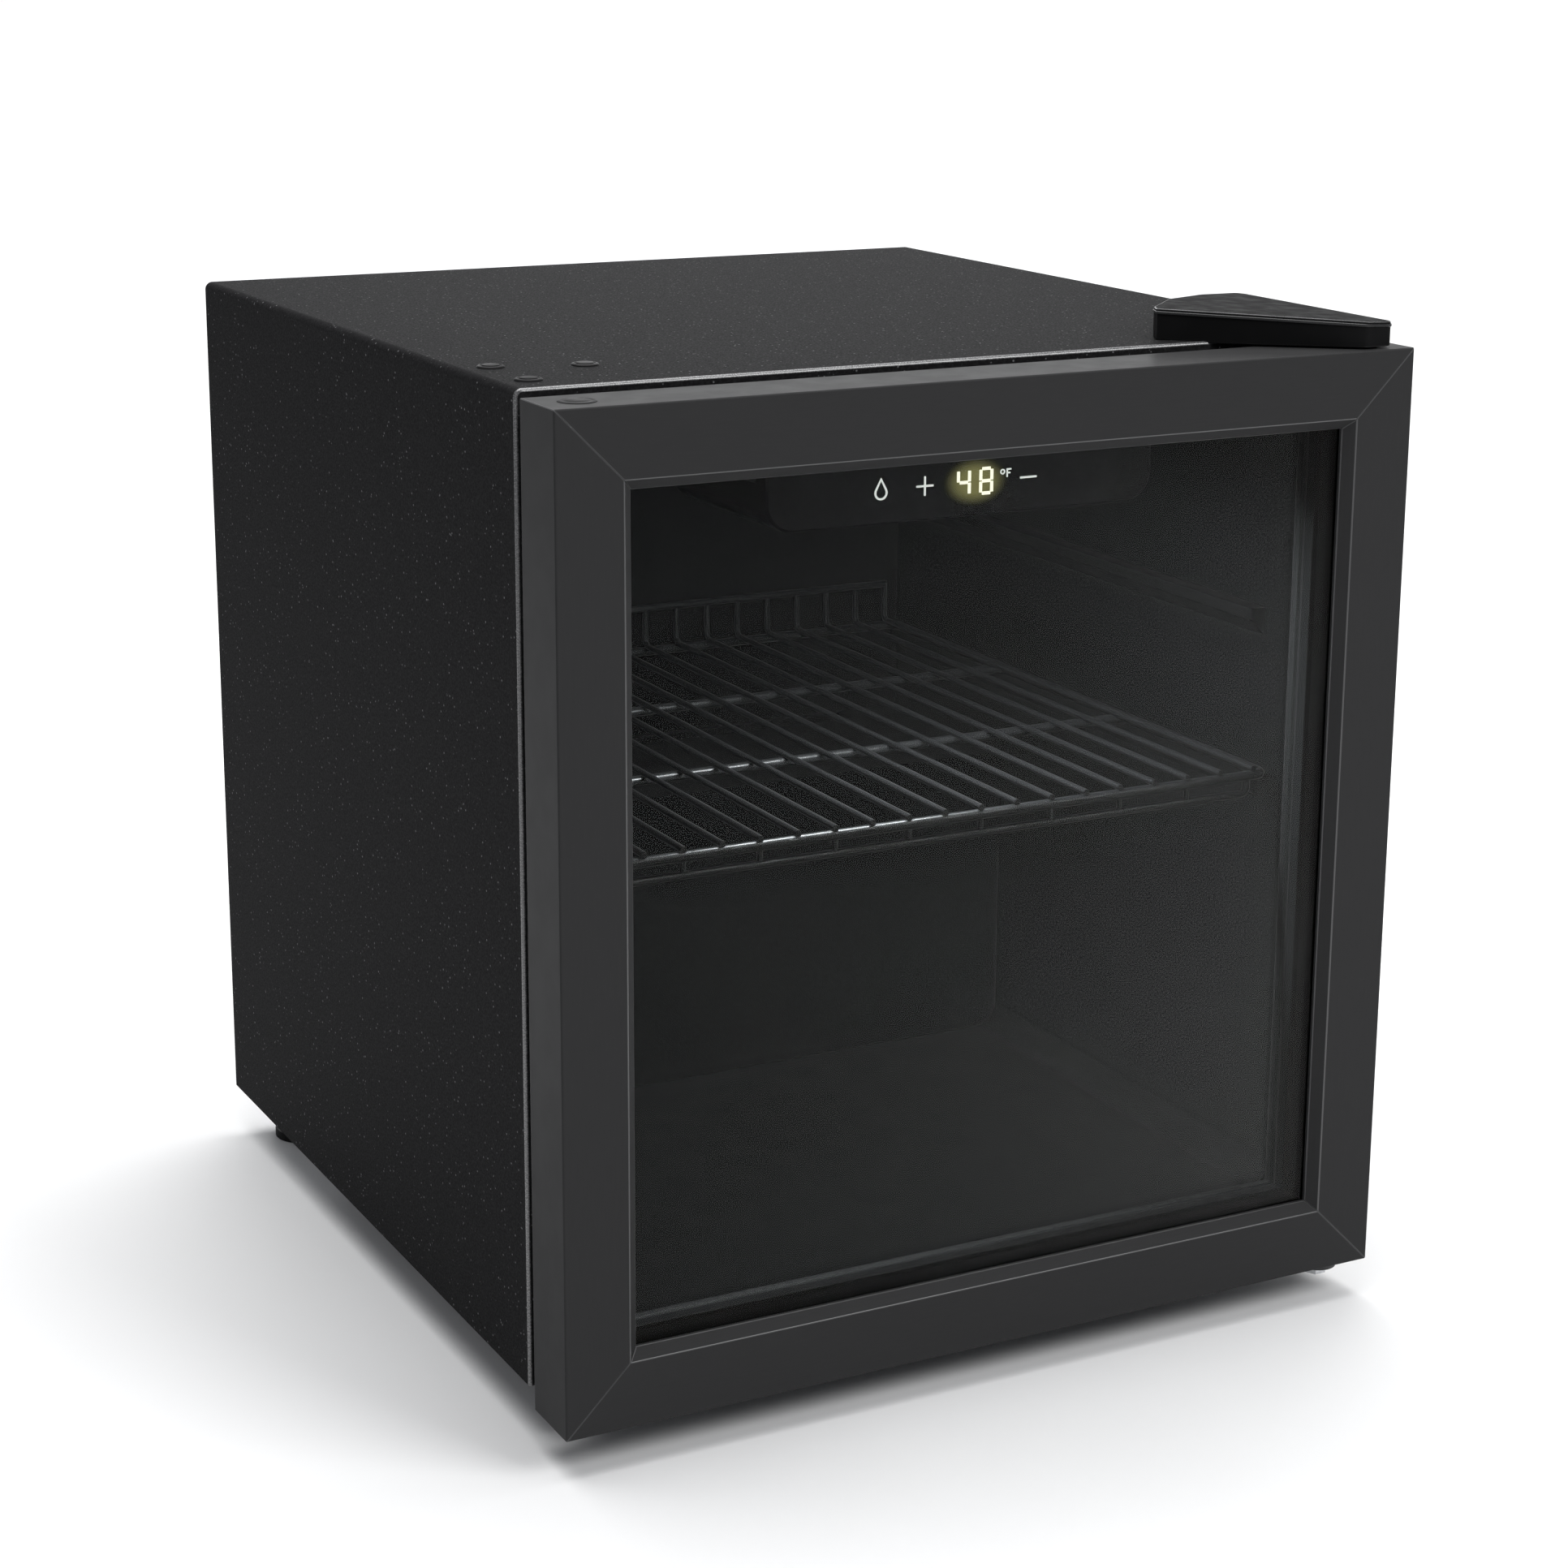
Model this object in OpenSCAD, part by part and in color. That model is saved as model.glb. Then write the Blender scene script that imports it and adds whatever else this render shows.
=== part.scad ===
// Compact beverage fridge with a glass door.
// Millimetres, +Z up. The origin is on the floor, under the middle of the bounding box.
// The door faces -Y and is hinged on the +X side.

/* [Cabinet] */
// Outside width of the steel cabinet
cab_w = 440; // [430:1:460]
// Depth of the cabinet without the door
cab_d = 432; // [420:1:450]
// Height of the cabinet
cab_h = 463; // [455:1:480]
// Height of the cabinet's underside above the floor
cab_lift = 26; // [26:1:30]
// Thickness of the steel sheets
sheet = 0.6; // [0.5:0.1:0.8]

/* [Door] */
// Width of the door
door_w = 445; // [435:1:465]
// Height of the door
door_h = 467; // [459:1:484]
// Thickness of the door without its gasket
door_t = 36; // [36:1:38]
// Gap between the door and the cabinet, which the gasket closes
seal_gap = 12; // [12:1:13]
// Height of the door's lower edge above the floor
door_lift = 20; // [20:1:22]
// Width of the door's face frame
frame_w = 37; // [36:1:40]
// Wall thickness of the frame's profile
frame_wall = 2.2; // [2:0.1:2.4]
// Thickness of each glass pane
pane_t = 4; // [3:0.5:4]

/* [Interior] */
// Thickness of the insulated side walls
wall_side = 28; // [26:1:30]
// Thickness of the insulated roof
wall_top = 31; // [30:1:34]
// Thickness of the insulated floor
wall_floor = 24; // [24:1:26]
// Thickness of the insulated back wall
wall_back = 36; // [34:1:40]
// Thickness of the plastic liner
liner_t = 1.5; // [1.2:0.1:1.8]
// Radius of the liner's corners
liner_r = 14; // [10:1:16]
// Height of the ledge that carries the shelf, above the floor
shelf_level = 266; // [262:1:280]

/* [Machine bay] */
// Depth of the bay at the lower back
bay_d = 132; // [130:1:136]
// Height of the bay
bay_h = 162; // [160:1:166]
// Diameter of the compressor's shell
comp_d = 118; // [110:1:120]

/* [Hidden] */
$fn = 48;

// Main planes
y_front = -(door_t + seal_gap + cab_d) / 2;
y_door = y_front + door_t;
y_cab = y_door + seal_gap;
y_back = y_cab + cab_d;
z_cab = cab_lift;
z_top = cab_lift + cab_h;
z_door_top = door_lift + door_h;
half_w = cab_w / 2;
skin_r = 4;

// Inside of the liner
in_half = half_w - wall_side;
in_floor = z_cab + wall_floor;
in_top = z_top - wall_top;
in_back = y_back - wall_back;
lip = 4.8;
flange_y = y_cab + sheet;
foam_front = flange_y + liner_t;

// Back panel, screwed to return flanges a little inside the wrapper
back_inset = 2.4;
back_screw_head = 1.6;
back_screw_l = 3.4;
y_flange = y_back - back_inset - sheet;
return_w = 10;

// Machine bay, and the step it makes in the liner
bay_y = y_back - bay_d;
bay_z = z_cab + bay_h;
bay_wall = 28;
step_y = bay_y - bay_wall;
step_z = bay_z + bay_wall;

// Shelf ledges moulded into the liner
ledge_w = 8;
ledge_h = 10;
ledge_front = y_cab + 24;
ledge_back = in_back - 8;
ledge_levels = [shelf_level, shelf_level + 84];

// Defrost gutter on the liner's step
gutter_half = 150;
gutter_w = 14;
gutter_deep = 6;
gutter_y = in_back - 12;
drain_x = 110;
drain_r = 6;

// Wire shelf
rod_r = 2.5;
wire_r = 1.6;
weld = 0.6;
shelf_half = in_half - 4.5;
shelf_front = y_cab + 9;
shelf_back = in_back - 10;
shelf_wires = 19;
shelf_rod_z = shelf_level + rod_r + 0.05;
shelf_wire_z = shelf_rod_z + rod_r + wire_r - weld;
shelf_kerb_h = 22;

// Control housing, hanging from the liner's roof
box_x = 4;
box_half = 103;
box_z = in_top - 43;
box_y = y_cab + 4;
box_d = 98;
box_r = 14;
box_wall = 2;
panel_t = 2;
symbol_t = 0.3;
lamp_half = 70;
lamp_y = box_y + 22;
lamp_d = 20;
lens_h = 7;
vent_half = 24;
vent_y = box_y + 34;

// Door build-up, as depths behind the front face
chamfer = 5;
pane_y = 7;
cavity = 12;
pane_lap = 12;
inner_pane_y = pane_y + pane_t + cavity;
retainer_y = inner_pane_y + pane_t + 0.2;
key_t = 5.5;

// Hinge axis
pin_x = door_w / 2 - 18.5;
pin_y = y_front + door_t / 2;
pin_r = 3.5;
bush_r = 6;
running = 0.05;
bush_flange_t = 0.5;
door_opening = 130;
stop_r = 11;
stop_lug_at = 9.6;
hinge_plate_t = 2.5;
bracket_t = 3;
bracket_z = door_lift - 5.2;
hinge_screws = [[204, -170], [204, -127], [163, -138]];
lower_screws = [[172, -152], [204, -152]];
screw_r = 2.4;

// Levelling feet
foot_x = 148;
foot_y = -150;
stud_r = 4;
stud_top = 45;
rear_foot_x = 188;
rear_foot_y = 214;

// Compressor
comp_x = -62;
comp_y = bay_y + bay_d / 2;
comp_r = comp_d / 2;
comp_base = z_cab + 18;
comp_seam = comp_base + 46;
comp_top = comp_base + 104;
shell_t = 2.5;
comp_feet_z = comp_base + 2;
comp_strap_t = 2.5;
comp_bolt_x = 74;
comp_bolt_y = 42;

// Tray under the compressor, and the bushing for the mains lead
tray_t = 1.2;
gland_at = [156, y_flange - 6, z_cab + 40];
gland_r = 4;

// Condenser pipe bonded inside each side panel
tube_r = 2.4;
cond_rows = 9;
cond_pitch = 34;
cond_front = y_cab + 60;
cond_back = bay_y - 40;
cond_low = z_cab + 120;

// Evaporator, foamed in behind the liner's back wall
evap_half = 150;
evap_low = step_z + 20;
evap_high = in_top - 28;
evap_rows = 7;

// ---------------------------------------------------------------- helpers

// Extrudes a shape drawn in X and Z from y0 to y1
module along_y(y0, y1) {
    translate([0, y1, 0])
        rotate([90, 0, 0])
            linear_extrude(y1 - y0)
                children();
}

// Box from its lowest to its highest corner
module block(low, high) {
    translate(low)
        cube(high - low);
}

// Rectangle with four round corners, between two corner points
module round_rect(low, high, r) {
    translate(low + [r, 0])
        square([high[0] - low[0] - 2 * r, high[1] - low[1]]);
    translate(low + [0, r])
        square([high[0] - low[0], high[1] - low[1] - 2 * r]);
    for (x = [low[0] + r, high[0] - r], z = [low[1] + r, high[1] - r])
        translate([x, z])
            circle(r);
}

// Cabinet section with two round top corners, shrunk by an inset and open below
module cabinet_section(inset, low) {
    r = skin_r - inset;
    half = half_w - inset;
    top = z_top - inset;
    translate([-half, low])
        square([2 * half, top - r - low]);
    translate([-half + r, low])
        square([2 * half - 2 * r, top - low]);
    for (s = [-1, 1])
        translate([s * (half - r), top - r])
            circle(r);
}

// Section of the cavity, grown by a margin
module cavity_section(grow) {
    round_rect([-in_half - grow, in_floor - grow], [in_half + grow, in_top + grow], liner_r + grow);
}

// Round pipe through a list of points, with a slightly larger ball at each bend
bend_extra = 0.1;
module pipe(points, r) {
    for (i = [0:len(points) - 2]) {
        a = points[i];
        d = points[i + 1] - a;
        translate(a)
            rotate([0, acos(d[2] / norm(d)), atan2(d[1], d[0])])
                cylinder(r = r, h = norm(d), $fn = 24);
    }
    for (i = [1:len(points) - 2])
        translate(points[i])
            sphere(r + bend_extra, $fn = 24);
}

// Pan-head screw pointing down from z, with a cross recess
module screw(head_r, head_h, length) {
    difference() {
        cylinder(r = head_r, h = head_h);
        for (a = [0, 90])
            rotate(a)
                translate([-head_r * 0.6, -0.5, head_h * 0.5])
                    cube([head_r * 1.2, 1, head_h]);
    }
    translate([0, 0, -length])
        cylinder(r = screw_r, h = length);
}

// One side of a mitred frame: a profile of [inward, depth] points, cut at 45 degrees at both ends
module mitred_bar(length, width, profile) {
    intersection() {
        rotate([0, 90, 0])
            linear_extrude(length, center = true)
                polygon(profile);
        rotate([90, 0, 0])
            linear_extrude(4 * door_t, center = true)
                polygon([
                    [-length / 2, 0], [-length / 2 + width, -width],
                    [length / 2 - width, -width], [length / 2, 0]
                ]);
    }
}

// The four sides of a mitred ring whose outer edge is inset from the door's outline
module mitred_ring(inset, width, profile) {
    w = door_w - 2 * inset;
    h = door_h - 2 * inset;
    z_mid = door_lift + door_h / 2;
    for (side = [0:3])
        translate([0, y_front, z_mid])
            rotate([0, side * 90, 0])
                translate([0, 0, (side % 2 == 0 ? h : w) / 2])
                    mitred_bar(side % 2 == 0 ? w : h, width, profile);
}

// Outline of a convex polygon moved inwards by d, points listed counter-clockwise
function edge_normal(a, b) = [a[1] - b[1], b[0] - a[0]] / norm(b - a);
function inset_corner(p, q, r, d) =
    let (m = edge_normal(p, q), n = edge_normal(q, r))
    q + (m + n) * d / (1 + m * n);
function inset_polygon(pts, d) = [
    for (i = [0:len(pts) - 1])
        inset_corner(pts[(i + len(pts) - 1) % len(pts)], pts[i], pts[(i + 1) % len(pts)], d)
];

// Points of an arc about a centre
function arc(centre, r, a0, a1, steps) = [
    for (i = [0:steps])
        centre + r * [cos(a0 + (a1 - a0) * i / steps), sin(a0 + (a1 - a0) * i / steps)]
];

// ---------------------------------------------------------------- cabinet shell

// Opening that the wrapper's and the base's front flanges leave for the liner
module mouth_section() {
    cavity_section(lip + 0.2);
}

module lower_flange_zone(grow) {
    translate([-in_half - lip - grow, 0])
        square([2 * (in_half + lip + grow), in_floor + liner_r]);
}

module outer_wrapper() {
    color("#1d1d1e")
        difference() {
            union() {
                along_y(y_cab, y_back)
                    difference() {
                        cabinet_section(0, z_cab);
                        cabinet_section(sheet, z_cab - 1);
                    }
                along_y(y_cab, y_cab + sheet)
                    difference() {
                        cabinet_section(0, z_cab);
                        mouth_section();
                        lower_flange_zone(0.2);
                    }
                along_y(y_flange, y_flange + sheet)
                    difference() {
                        cabinet_section(0, z_cab);
                        cabinet_section_core();
                    }
            }
            for (s = [-1, 1], p = hinge_screws)
                translate([s * p[0], p[1], z_top - 2])
                    cylinder(r = screw_r + 0.1, h = 4);
            for (p = back_screw_places())
                translate([p[0], y_flange - 1, p[1]])
                    rotate([-90, 0, 0])
                        cylinder(r = screw_r + 0.1, h = 4);
        }
}

// What the rear return flange leaves open
module cabinet_section_core() {
    translate([-half_w + return_w, z_cab - 1])
        square([cab_w - 2 * return_w, cab_h + 1 - return_w]);
}

function back_screw_places() = [
    for (s = [-1, 1], z = [bay_z + 40, (bay_z + z_top) / 2 + 16, z_top - 40]) [s * (half_w - 6), z]
];

module back_panel() {
    color("#2b2b2d")
        difference() {
            block(
                [-half_w + 2.6, y_flange + sheet, bay_z + 2],
                [half_w - 2.6, y_flange + 2 * sheet, z_top - 2.6]
            );
            for (p = back_screw_places())
                translate([p[0], y_flange, p[1]])
                    rotate([-90, 0, 0])
                        cylinder(r = screw_r + 0.1, h = 4);
        }
}

module back_panel_screws() {
    color("#8d8f92")
        for (p = back_screw_places())
            translate([p[0], y_flange + 2 * sheet, p[1]])
                rotate([-90, 0, 0])
                    screw(2.9, back_screw_head, back_screw_l);
}

module base_panel() {
    color("#3a3b3d")
        difference() {
            union() {
                block([-half_w + sheet, flange_y, z_cab], [half_w - sheet, bay_y - sheet, z_cab + sheet]);
                along_y(y_cab, y_cab + sheet)
                    difference() {
                        translate([-in_half - lip, z_cab])
                            square([2 * (in_half + lip), in_floor + liner_r - z_cab]);
                        mouth_section();
                    }
                block([-in_half - lip, y_cab, z_cab], [in_half + lip, flange_y + sheet, z_cab + sheet]);
            }
            for (s = [-1, 1]) {
                translate([s * foot_x, foot_y, z_cab - 1])
                    cylinder(r = 6.1, h = 3);
                for (p = lower_screws)
                    translate([s * p[0], p[1], z_cab - 1])
                        cylinder(r = screw_r + 0.1, h = 3);
            }
        }
}

module bay_panel() {
    color("#7d8084")
        difference() {
            union() {
                block([-half_w + sheet, bay_y - sheet, z_cab], [half_w - sheet, bay_y, bay_z]);
                block([-half_w + sheet, bay_y - sheet, bay_z - sheet], [half_w - sheet, y_flange, bay_z]);
                block(
                    [-half_w + return_w + 2, y_flange, bay_z - sheet],
                    [half_w - return_w - 2, y_flange + sheet, bay_z + 10]
                );
            }
            translate([drain_x, gutter_y, bay_z - 2])
                cylinder(r = drain_r + 0.2, h = 4);
        }
}

module compressor_tray() {
    half = half_w - sheet;
    color("#5c5f63")
        difference() {
            union() {
                block([-half, bay_y, z_cab], [half, y_flange - 1, z_cab + tray_t]);
                for (s = [-1, 1])
                    block(
                        [s > 0 ? half - tray_t : -half, bay_y, z_cab],
                        [s > 0 ? half : -half + tray_t, y_flange - 1, z_cab + 14]
                    );
                block([-half, y_flange - 1 - tray_t, z_cab], [half, y_flange - 1, z_cab + 8]);
                // Upright tab for the mains lead's bushing
                block(
                    [gland_at[0] - 22, gland_at[1] + 1, z_cab],
                    [gland_at[0] + 22, gland_at[1] + 1 + tray_t, gland_at[2] + 20]
                );
            }
            compressor_bolt_places()
                translate([0, 0, z_cab - 1])
                    cylinder(r = 3.2, h = 4);
            translate([gland_at[0], gland_at[1] - 2, gland_at[2]])
                rotate([-90, 0, 0])
                    cylinder(r = 8, h = 8);
        }
}

// ---------------------------------------------------------------- insulation and liner

module step_block(grow) {
    block(
        [-half_w, step_y - grow, 0],
        [half_w, y_back + 1, step_z + grow]
    );
}

module gutter_block(grow) {
    block(
        [-gutter_half - grow, gutter_y - gutter_w / 2 - grow, step_z - gutter_deep - grow],
        [gutter_half + grow, gutter_y + gutter_w / 2 + grow, step_z + 1]
    );
}

module liner_outside() {
    difference() {
        along_y(flange_y, in_back + liner_t)
            cavity_section(liner_t);
        step_block(-liner_t);
    }
    gutter_block(liner_t);
}

module inner_liner() {
    color("#141415")
        difference() {
            union() {
                liner_outside();
                along_y(flange_y, foam_front)
                    cabinet_flange();
                along_y(y_cab, flange_y)
                    cavity_section(lip);
            }
            difference() {
                along_y(y_cab - 1, in_back)
                    cavity_section(0);
                step_block(0);
                shelf_ledges();
            }
            gutter_block(0);
            translate([drain_x, gutter_y, step_z - gutter_deep - liner_t - 1])
                cylinder(r = drain_r - 1.5, h = 4);
        }
}

// Liner flange tucked behind the steel front flanges
module cabinet_flange() {
    difference() {
        translate([-half_w + sheet + 0.2, z_cab + sheet + 0.2])
            square([cab_w - 2 * sheet - 0.4, cab_h - 2 * sheet - 0.4 - skin_r]);
        translate([-in_half, in_floor])
            square([2 * in_half, in_top - in_floor]);
    }
}

// Ledges along both side walls, with a sloped underside
module shelf_ledges() {
    for (z = ledge_levels, s = [0, 1])
        mirror([s, 0, 0])
            along_y(ledge_front, ledge_back)
                polygon([
                    [in_half - ledge_w, z], [in_half + 1, z],
                    [in_half + 1, z - ledge_h - 4], [in_half, z - ledge_h - 4],
                    [in_half - ledge_w, z - ledge_h + 4]
                ]);
}

module backing_plate_pockets() {
    for (s = [0, 1])
        mirror([s, 0, 0]) {
            block([146, -184, z_top - sheet - 3], [half_w - 6, -114, z_top]);
            block([158, -186, z_cab], [half_w - 4, -136, z_cab + sheet + 3]);
            for (p = hinge_screws)
                translate([p[0], p[1], z_top - 14])
                    cylinder(r = 4, h = 14);
            for (p = lower_screws)
                translate([p[0], p[1], z_cab])
                    cylinder(r = 4, h = 12);
        }
}

module insulation_foam() {
    color("#d9c98f")
        difference() {
            along_y(foam_front, y_flange)
                cabinet_section(sheet, z_cab + sheet);
            block([-half_w, bay_y - sheet, 0], [half_w, y_back, bay_z]);
            liner_outside();
            backing_plate_pockets();
            for (s = [-1, 1])
                translate([s * foot_x, foot_y, z_cab])
                    cylinder(r = 9, h = stud_top + 1.5 - z_cab);
            for (s = [0, 1])
                mirror([s, 0, 0])
                    condenser_pocket();
            block(
                [-evap_half - 4, in_back + liner_t - 0.5, evap_low - 4],
                [evap_half + 4, in_back + liner_t + 9, evap_high + 4]
            );
            translate([drain_x, gutter_y, bay_z - 1])
                cylinder(r = drain_r, h = bay_wall);
            for (p = back_screw_places())
                translate([p[0], y_flange - back_screw_l, p[1]])
                    rotate([-90, 0, 0])
                        cylinder(r = screw_r + 0.1, h = back_screw_l + 1);
        }
}

module hinge_backing_plates() {
    color("#9a9da1")
        for (s = [0, 1])
            mirror([s, 0, 0]) {
                difference() {
                    block([146, -184, z_top - sheet - 3], [half_w - 6, -114, z_top - sheet]);
                    for (p = hinge_screws)
                        translate([p[0], p[1], z_top - 8])
                            cylinder(r = screw_r + 0.1, h = 10);
                }
                difference() {
                    block([158, -186, z_cab + sheet], [half_w - 4, -136, z_cab + sheet + 3]);
                    for (p = lower_screws)
                        translate([p[0], p[1], z_cab])
                            cylinder(r = screw_r + 0.1, h = 10);
                }
            }
}

// ---------------------------------------------------------------- refrigeration

// Heights of the condenser's runs
function cond_z(i) = cond_low + i * cond_pitch;

// The bends stand away from the pocket's ends, and the pipe lies against the side panel
module condenser_pocket() {
    block(
        [half_w - sheet - 2 * tube_r - 0.6, cond_front - 8, cond_low - 8],
        [half_w, cond_back + 8, cond_z(cond_rows - 1) + 8]
    );
}

function serpentine(rows, x, y0, y1, z0, pitch) = [
    for (i = [0:rows - 1], e = [0, 1]) [x, (i + e) % 2 == 0 ? y0 : y1, z0 + i * pitch]
];

module condenser_tubes() {
    x = half_w - sheet - tube_r - 0.2;
    color("#b87333")
        for (s = [-1, 1])
            pipe(serpentine(cond_rows, s * x, cond_front, cond_back, cond_low, cond_pitch), tube_r);
}

module evaporator_plate() {
    y0 = in_back + liner_t;
    color("#c4c7ca")
        block([-evap_half, y0, evap_low], [evap_half, y0 + 1.5, evap_high]);
}

module evaporator_tube() {
    y = in_back + liner_t + 1.5 + 3 + bend_extra;
    pitch = (evap_high - evap_low - 24) / (evap_rows - 1);
    color("#c4c7ca")
        pipe([
            for (i = [0:evap_rows - 1], e = [0, 1])
                [((i + e) % 2 == 0 ? -1 : 1) * (evap_half - 14), y, evap_low + 12 + i * pitch]
        ], 3);
}

module drain_tube() {
    top = step_z - gutter_deep - liner_t;
    color("#e6e6e6")
        translate([drain_x, gutter_y, 0])
            difference() {
                translate([0, 0, bay_z - 20])
                    cylinder(r = drain_r - 0.2, h = top - bay_z + 20);
                translate([0, 0, bay_z - 21])
                    cylinder(r = drain_r - 1.6, h = bay_h);
            }
}

// Shallow pan over the compressor, which its heat dries, with a spout towards the drain tube
module drip_tray() {
    z0 = comp_top + 0.5;
    low = [comp_x - 60, comp_y - 48, z0];
    high = [comp_x + 190, comp_y + 48, z0 + 18];
    color("#202122")
        difference() {
            union() {
                block(low, high);
                block([low[0] - 4, low[1] - 4, high[2] - 2], [high[0] + 4, high[1] + 4, high[2]]);
            }
            block(low + [1.8, 1.8, 1.8], high + [-1.8, -1.8, 1]);
        }
}

// Half of the compressor's shell as a revolved profile, from its seam to its domed end
module shell_half(height, dome_r) {
    outer = concat([[comp_r, 0]], arc([comp_r - dome_r, height - dome_r], dome_r, 0, 90, 8), [[0, height]]);
    inner = concat(
        [[0, height - shell_t]],
        arc([comp_r - dome_r, height - dome_r], dome_r - shell_t, 90, 0, 8),
        [[comp_r - shell_t, 0]]
    );
    rotate_extrude($fn = 64)
        polygon(concat(outer, inner));
}

// Lower shell with its two pressed straps, welded on, that carry the four rubber mounts
module compressor_lower_shell() {
    color("#161616") {
        translate([comp_x, comp_y, comp_seam])
            mirror([0, 0, 1])
                shell_half(comp_seam - comp_base, 26);
        difference() {
            for (sy = [-1, 1])
                block(
                    [comp_x - comp_bolt_x - 12, comp_y + sy * comp_bolt_y - 12, comp_feet_z],
                    [comp_x + comp_bolt_x + 12, comp_y + sy * comp_bolt_y + 12, comp_feet_z + comp_strap_t]
                );
            compressor_bolt_places()
                translate([0, 0, comp_feet_z - 1])
                    cylinder(r = 6.2, h = 5);
            translate([comp_x, comp_y, comp_seam])
                mirror([0, 0, 1])
                    shell_solid(comp_seam - comp_base, 26, shell_t / 2);
        }
    }
}

module compressor_upper_shell() {
    color("#161616")
        translate([comp_x, comp_y, comp_seam + 0.01]) {
            shell_half(comp_top - comp_seam, 34);
            difference() {
                cylinder(r = comp_r + 2.5, h = 4);
                translate([0, 0, -1])
                    cylinder(r = comp_r - 0.5, h = 6);
            }
        }
}

module compressor_bolt_places() {
    for (sx = [-1, 1], sy = [-1, 1])
        translate([comp_x + sx * comp_bolt_x, comp_y + sy * comp_bolt_y, 0])
            children();
}

// The same half shell filled in, drawn in by inset
module shell_solid(height, dome_r, inset) {
    rotate_extrude($fn = 64)
        polygon(concat(
            [[0, 0], [comp_r - inset, 0]],
            arc([comp_r - dome_r, height - dome_r], dome_r - inset, 0, 90, 8),
            [[0, height - inset]]
        ));
}

module compressor_motor() {
    post_h = 8;
    stator_h = 44;
    color("#77797b")
        translate([comp_x, comp_y, comp_base + shell_t]) {
            for (sx = [-1, 1], sy = [-1, 1])
                translate([sx * 20, sy * 20, 0])
                    cylinder(r = 4, h = post_h + 1);
            translate([0, 0, post_h])
                cylinder(r = 46, h = stator_h);
            translate([-35, -28, post_h + stator_h - 1])
                cube([70, 56, 31]);
        }
}

module compressor_grommets() {
    z0 = z_cab + 1.2;
    neck = comp_feet_z + comp_strap_t - z0;
    color("#242424")
        compressor_bolt_places()
            translate([0, 0, z0])
                difference() {
                    union() {
                        cylinder(r = 9, h = comp_feet_z - z0);
                        cylinder(r = 6.1, h = neck + 1);
                        translate([0, 0, neck])
                            cylinder(r = 9, h = 4);
                    }
                    translate([0, 0, -1])
                        cylinder(r = 3.2, h = neck + 6);
                }
}

module compressor_bolts() {
    nut_z = comp_feet_z + comp_strap_t + 4;
    color("#a5a8ab")
        compressor_bolt_places() {
            translate([0, 0, z_cab - 4])
                cylinder(r = 5.5, h = 4, $fn = 6);
            translate([0, 0, z_cab - 1])
                cylinder(r = 3, h = nut_z - z_cab + 7);
            translate([0, 0, nut_z])
                cylinder(r = 5.5, h = 4.5, $fn = 6);
        }
}

// Plastic cover over the compressor's terminals
module relay_cover() {
    x0 = comp_x + comp_r + 2.6;
    low = [x0, comp_y - 26, comp_base + 14];
    high = [x0 + 34, comp_y + 26, comp_base + 72];
    color("#19191a")
        difference() {
            block(low, high);
            block(low + [-1, 2, 2], high - [2, 2, 2]);
            translate([high[0] - 3, comp_y, low[2] + 12])
                rotate([0, 90, 0])
                    cylinder(r = 3.2, h = 6);
        }
}

drier = [comp_x + 130, bay_y + 24, z_cab + 50];

module filter_drier() {
    color("#b87333")
        translate(drier) {
            cylinder(r = 9, h = 46);
            translate([0, 0, -12])
                cylinder(r1 = 3, r2 = 9, h = 12);
            translate([0, 0, 46])
                cylinder(r1 = 9, r2 = 3, h = 10);
        }
}

// Copper lines in the bay: discharge, drier feed, capillary and suction
module refrigerant_lines() {
    port_z = comp_base + 34;
    wall_y = bay_y + 1;
    left = comp_x - comp_r;
    color("#b87333") {
        pipe([
            [left - 0.2, comp_y, port_z], [left - 22, comp_y, port_z],
            [left - 22, comp_y, port_z + 60], [left - 22, wall_y, port_z + 60]
        ], 2.6);
        pipe([
            [left + 4, comp_y + 26, port_z + 4], [left - 12, comp_y + 26, port_z + 4],
            [left - 12, comp_y + 26, bay_z - 2]
        ], 3.4);
        pipe([
            drier + [0, 0, -12.5], drier + [0, 0, -26], [drier[0], wall_y, drier[2] - 26]
        ], 2.4);
        pipe([
            drier + [0, 0, 56.5], drier + [0, 0, 64],
            [drier[0] + 26, drier[1], drier[2] + 64], [drier[0] + 26, wall_y, drier[2] + 64]
        ], 1.2);
    }
}

// Bushing for the mains lead
module cord_gland() {
    color("#111112")
        translate([gland_at[0], y_flange - 12, gland_at[2]])
            rotate([-90, 0, 0])
                difference() {
                    union() {
                        cylinder(r = 7.9, h = 9);
                        cylinder(r = 10, h = 6.9);
                        translate([0, 0, 8.3])
                            cylinder(r = 10, h = 3);
                    }
                    translate([0, 0, -1])
                        cylinder(r = gland_r, h = 14);
                }
}

// Lead from the terminal cover to the mains lead's bushing
module bay_wiring() {
    start = [comp_x + comp_r + 37.5, comp_y, comp_base + 26];
    low = z_cab + 16;
    turn = start[0] + 14;
    gland_x = gland_at[0];
    back = comp_y + 30;
    color("#0d0d0d")
        pipe([
            start, [turn, start[1], start[2]], [turn, start[1], low],
            [gland_x - 34, start[1], low], [gland_x - 34, back, low], [gland_x, back, low],
            [gland_x, back, gland_at[2]], [gland_x, gland_at[1] - 8, gland_at[2]]
        ], 2.8);
}

// ---------------------------------------------------------------- feet

module rear_feet() {
    color("#1a1a1b")
        for (s = [-1, 1])
            translate([s * rear_foot_x, rear_foot_y, 0]) {
                cylinder(r = 17, h = 5);
                cylinder(r1 = 14, r2 = 12, h = z_cab);
            }
}

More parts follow.
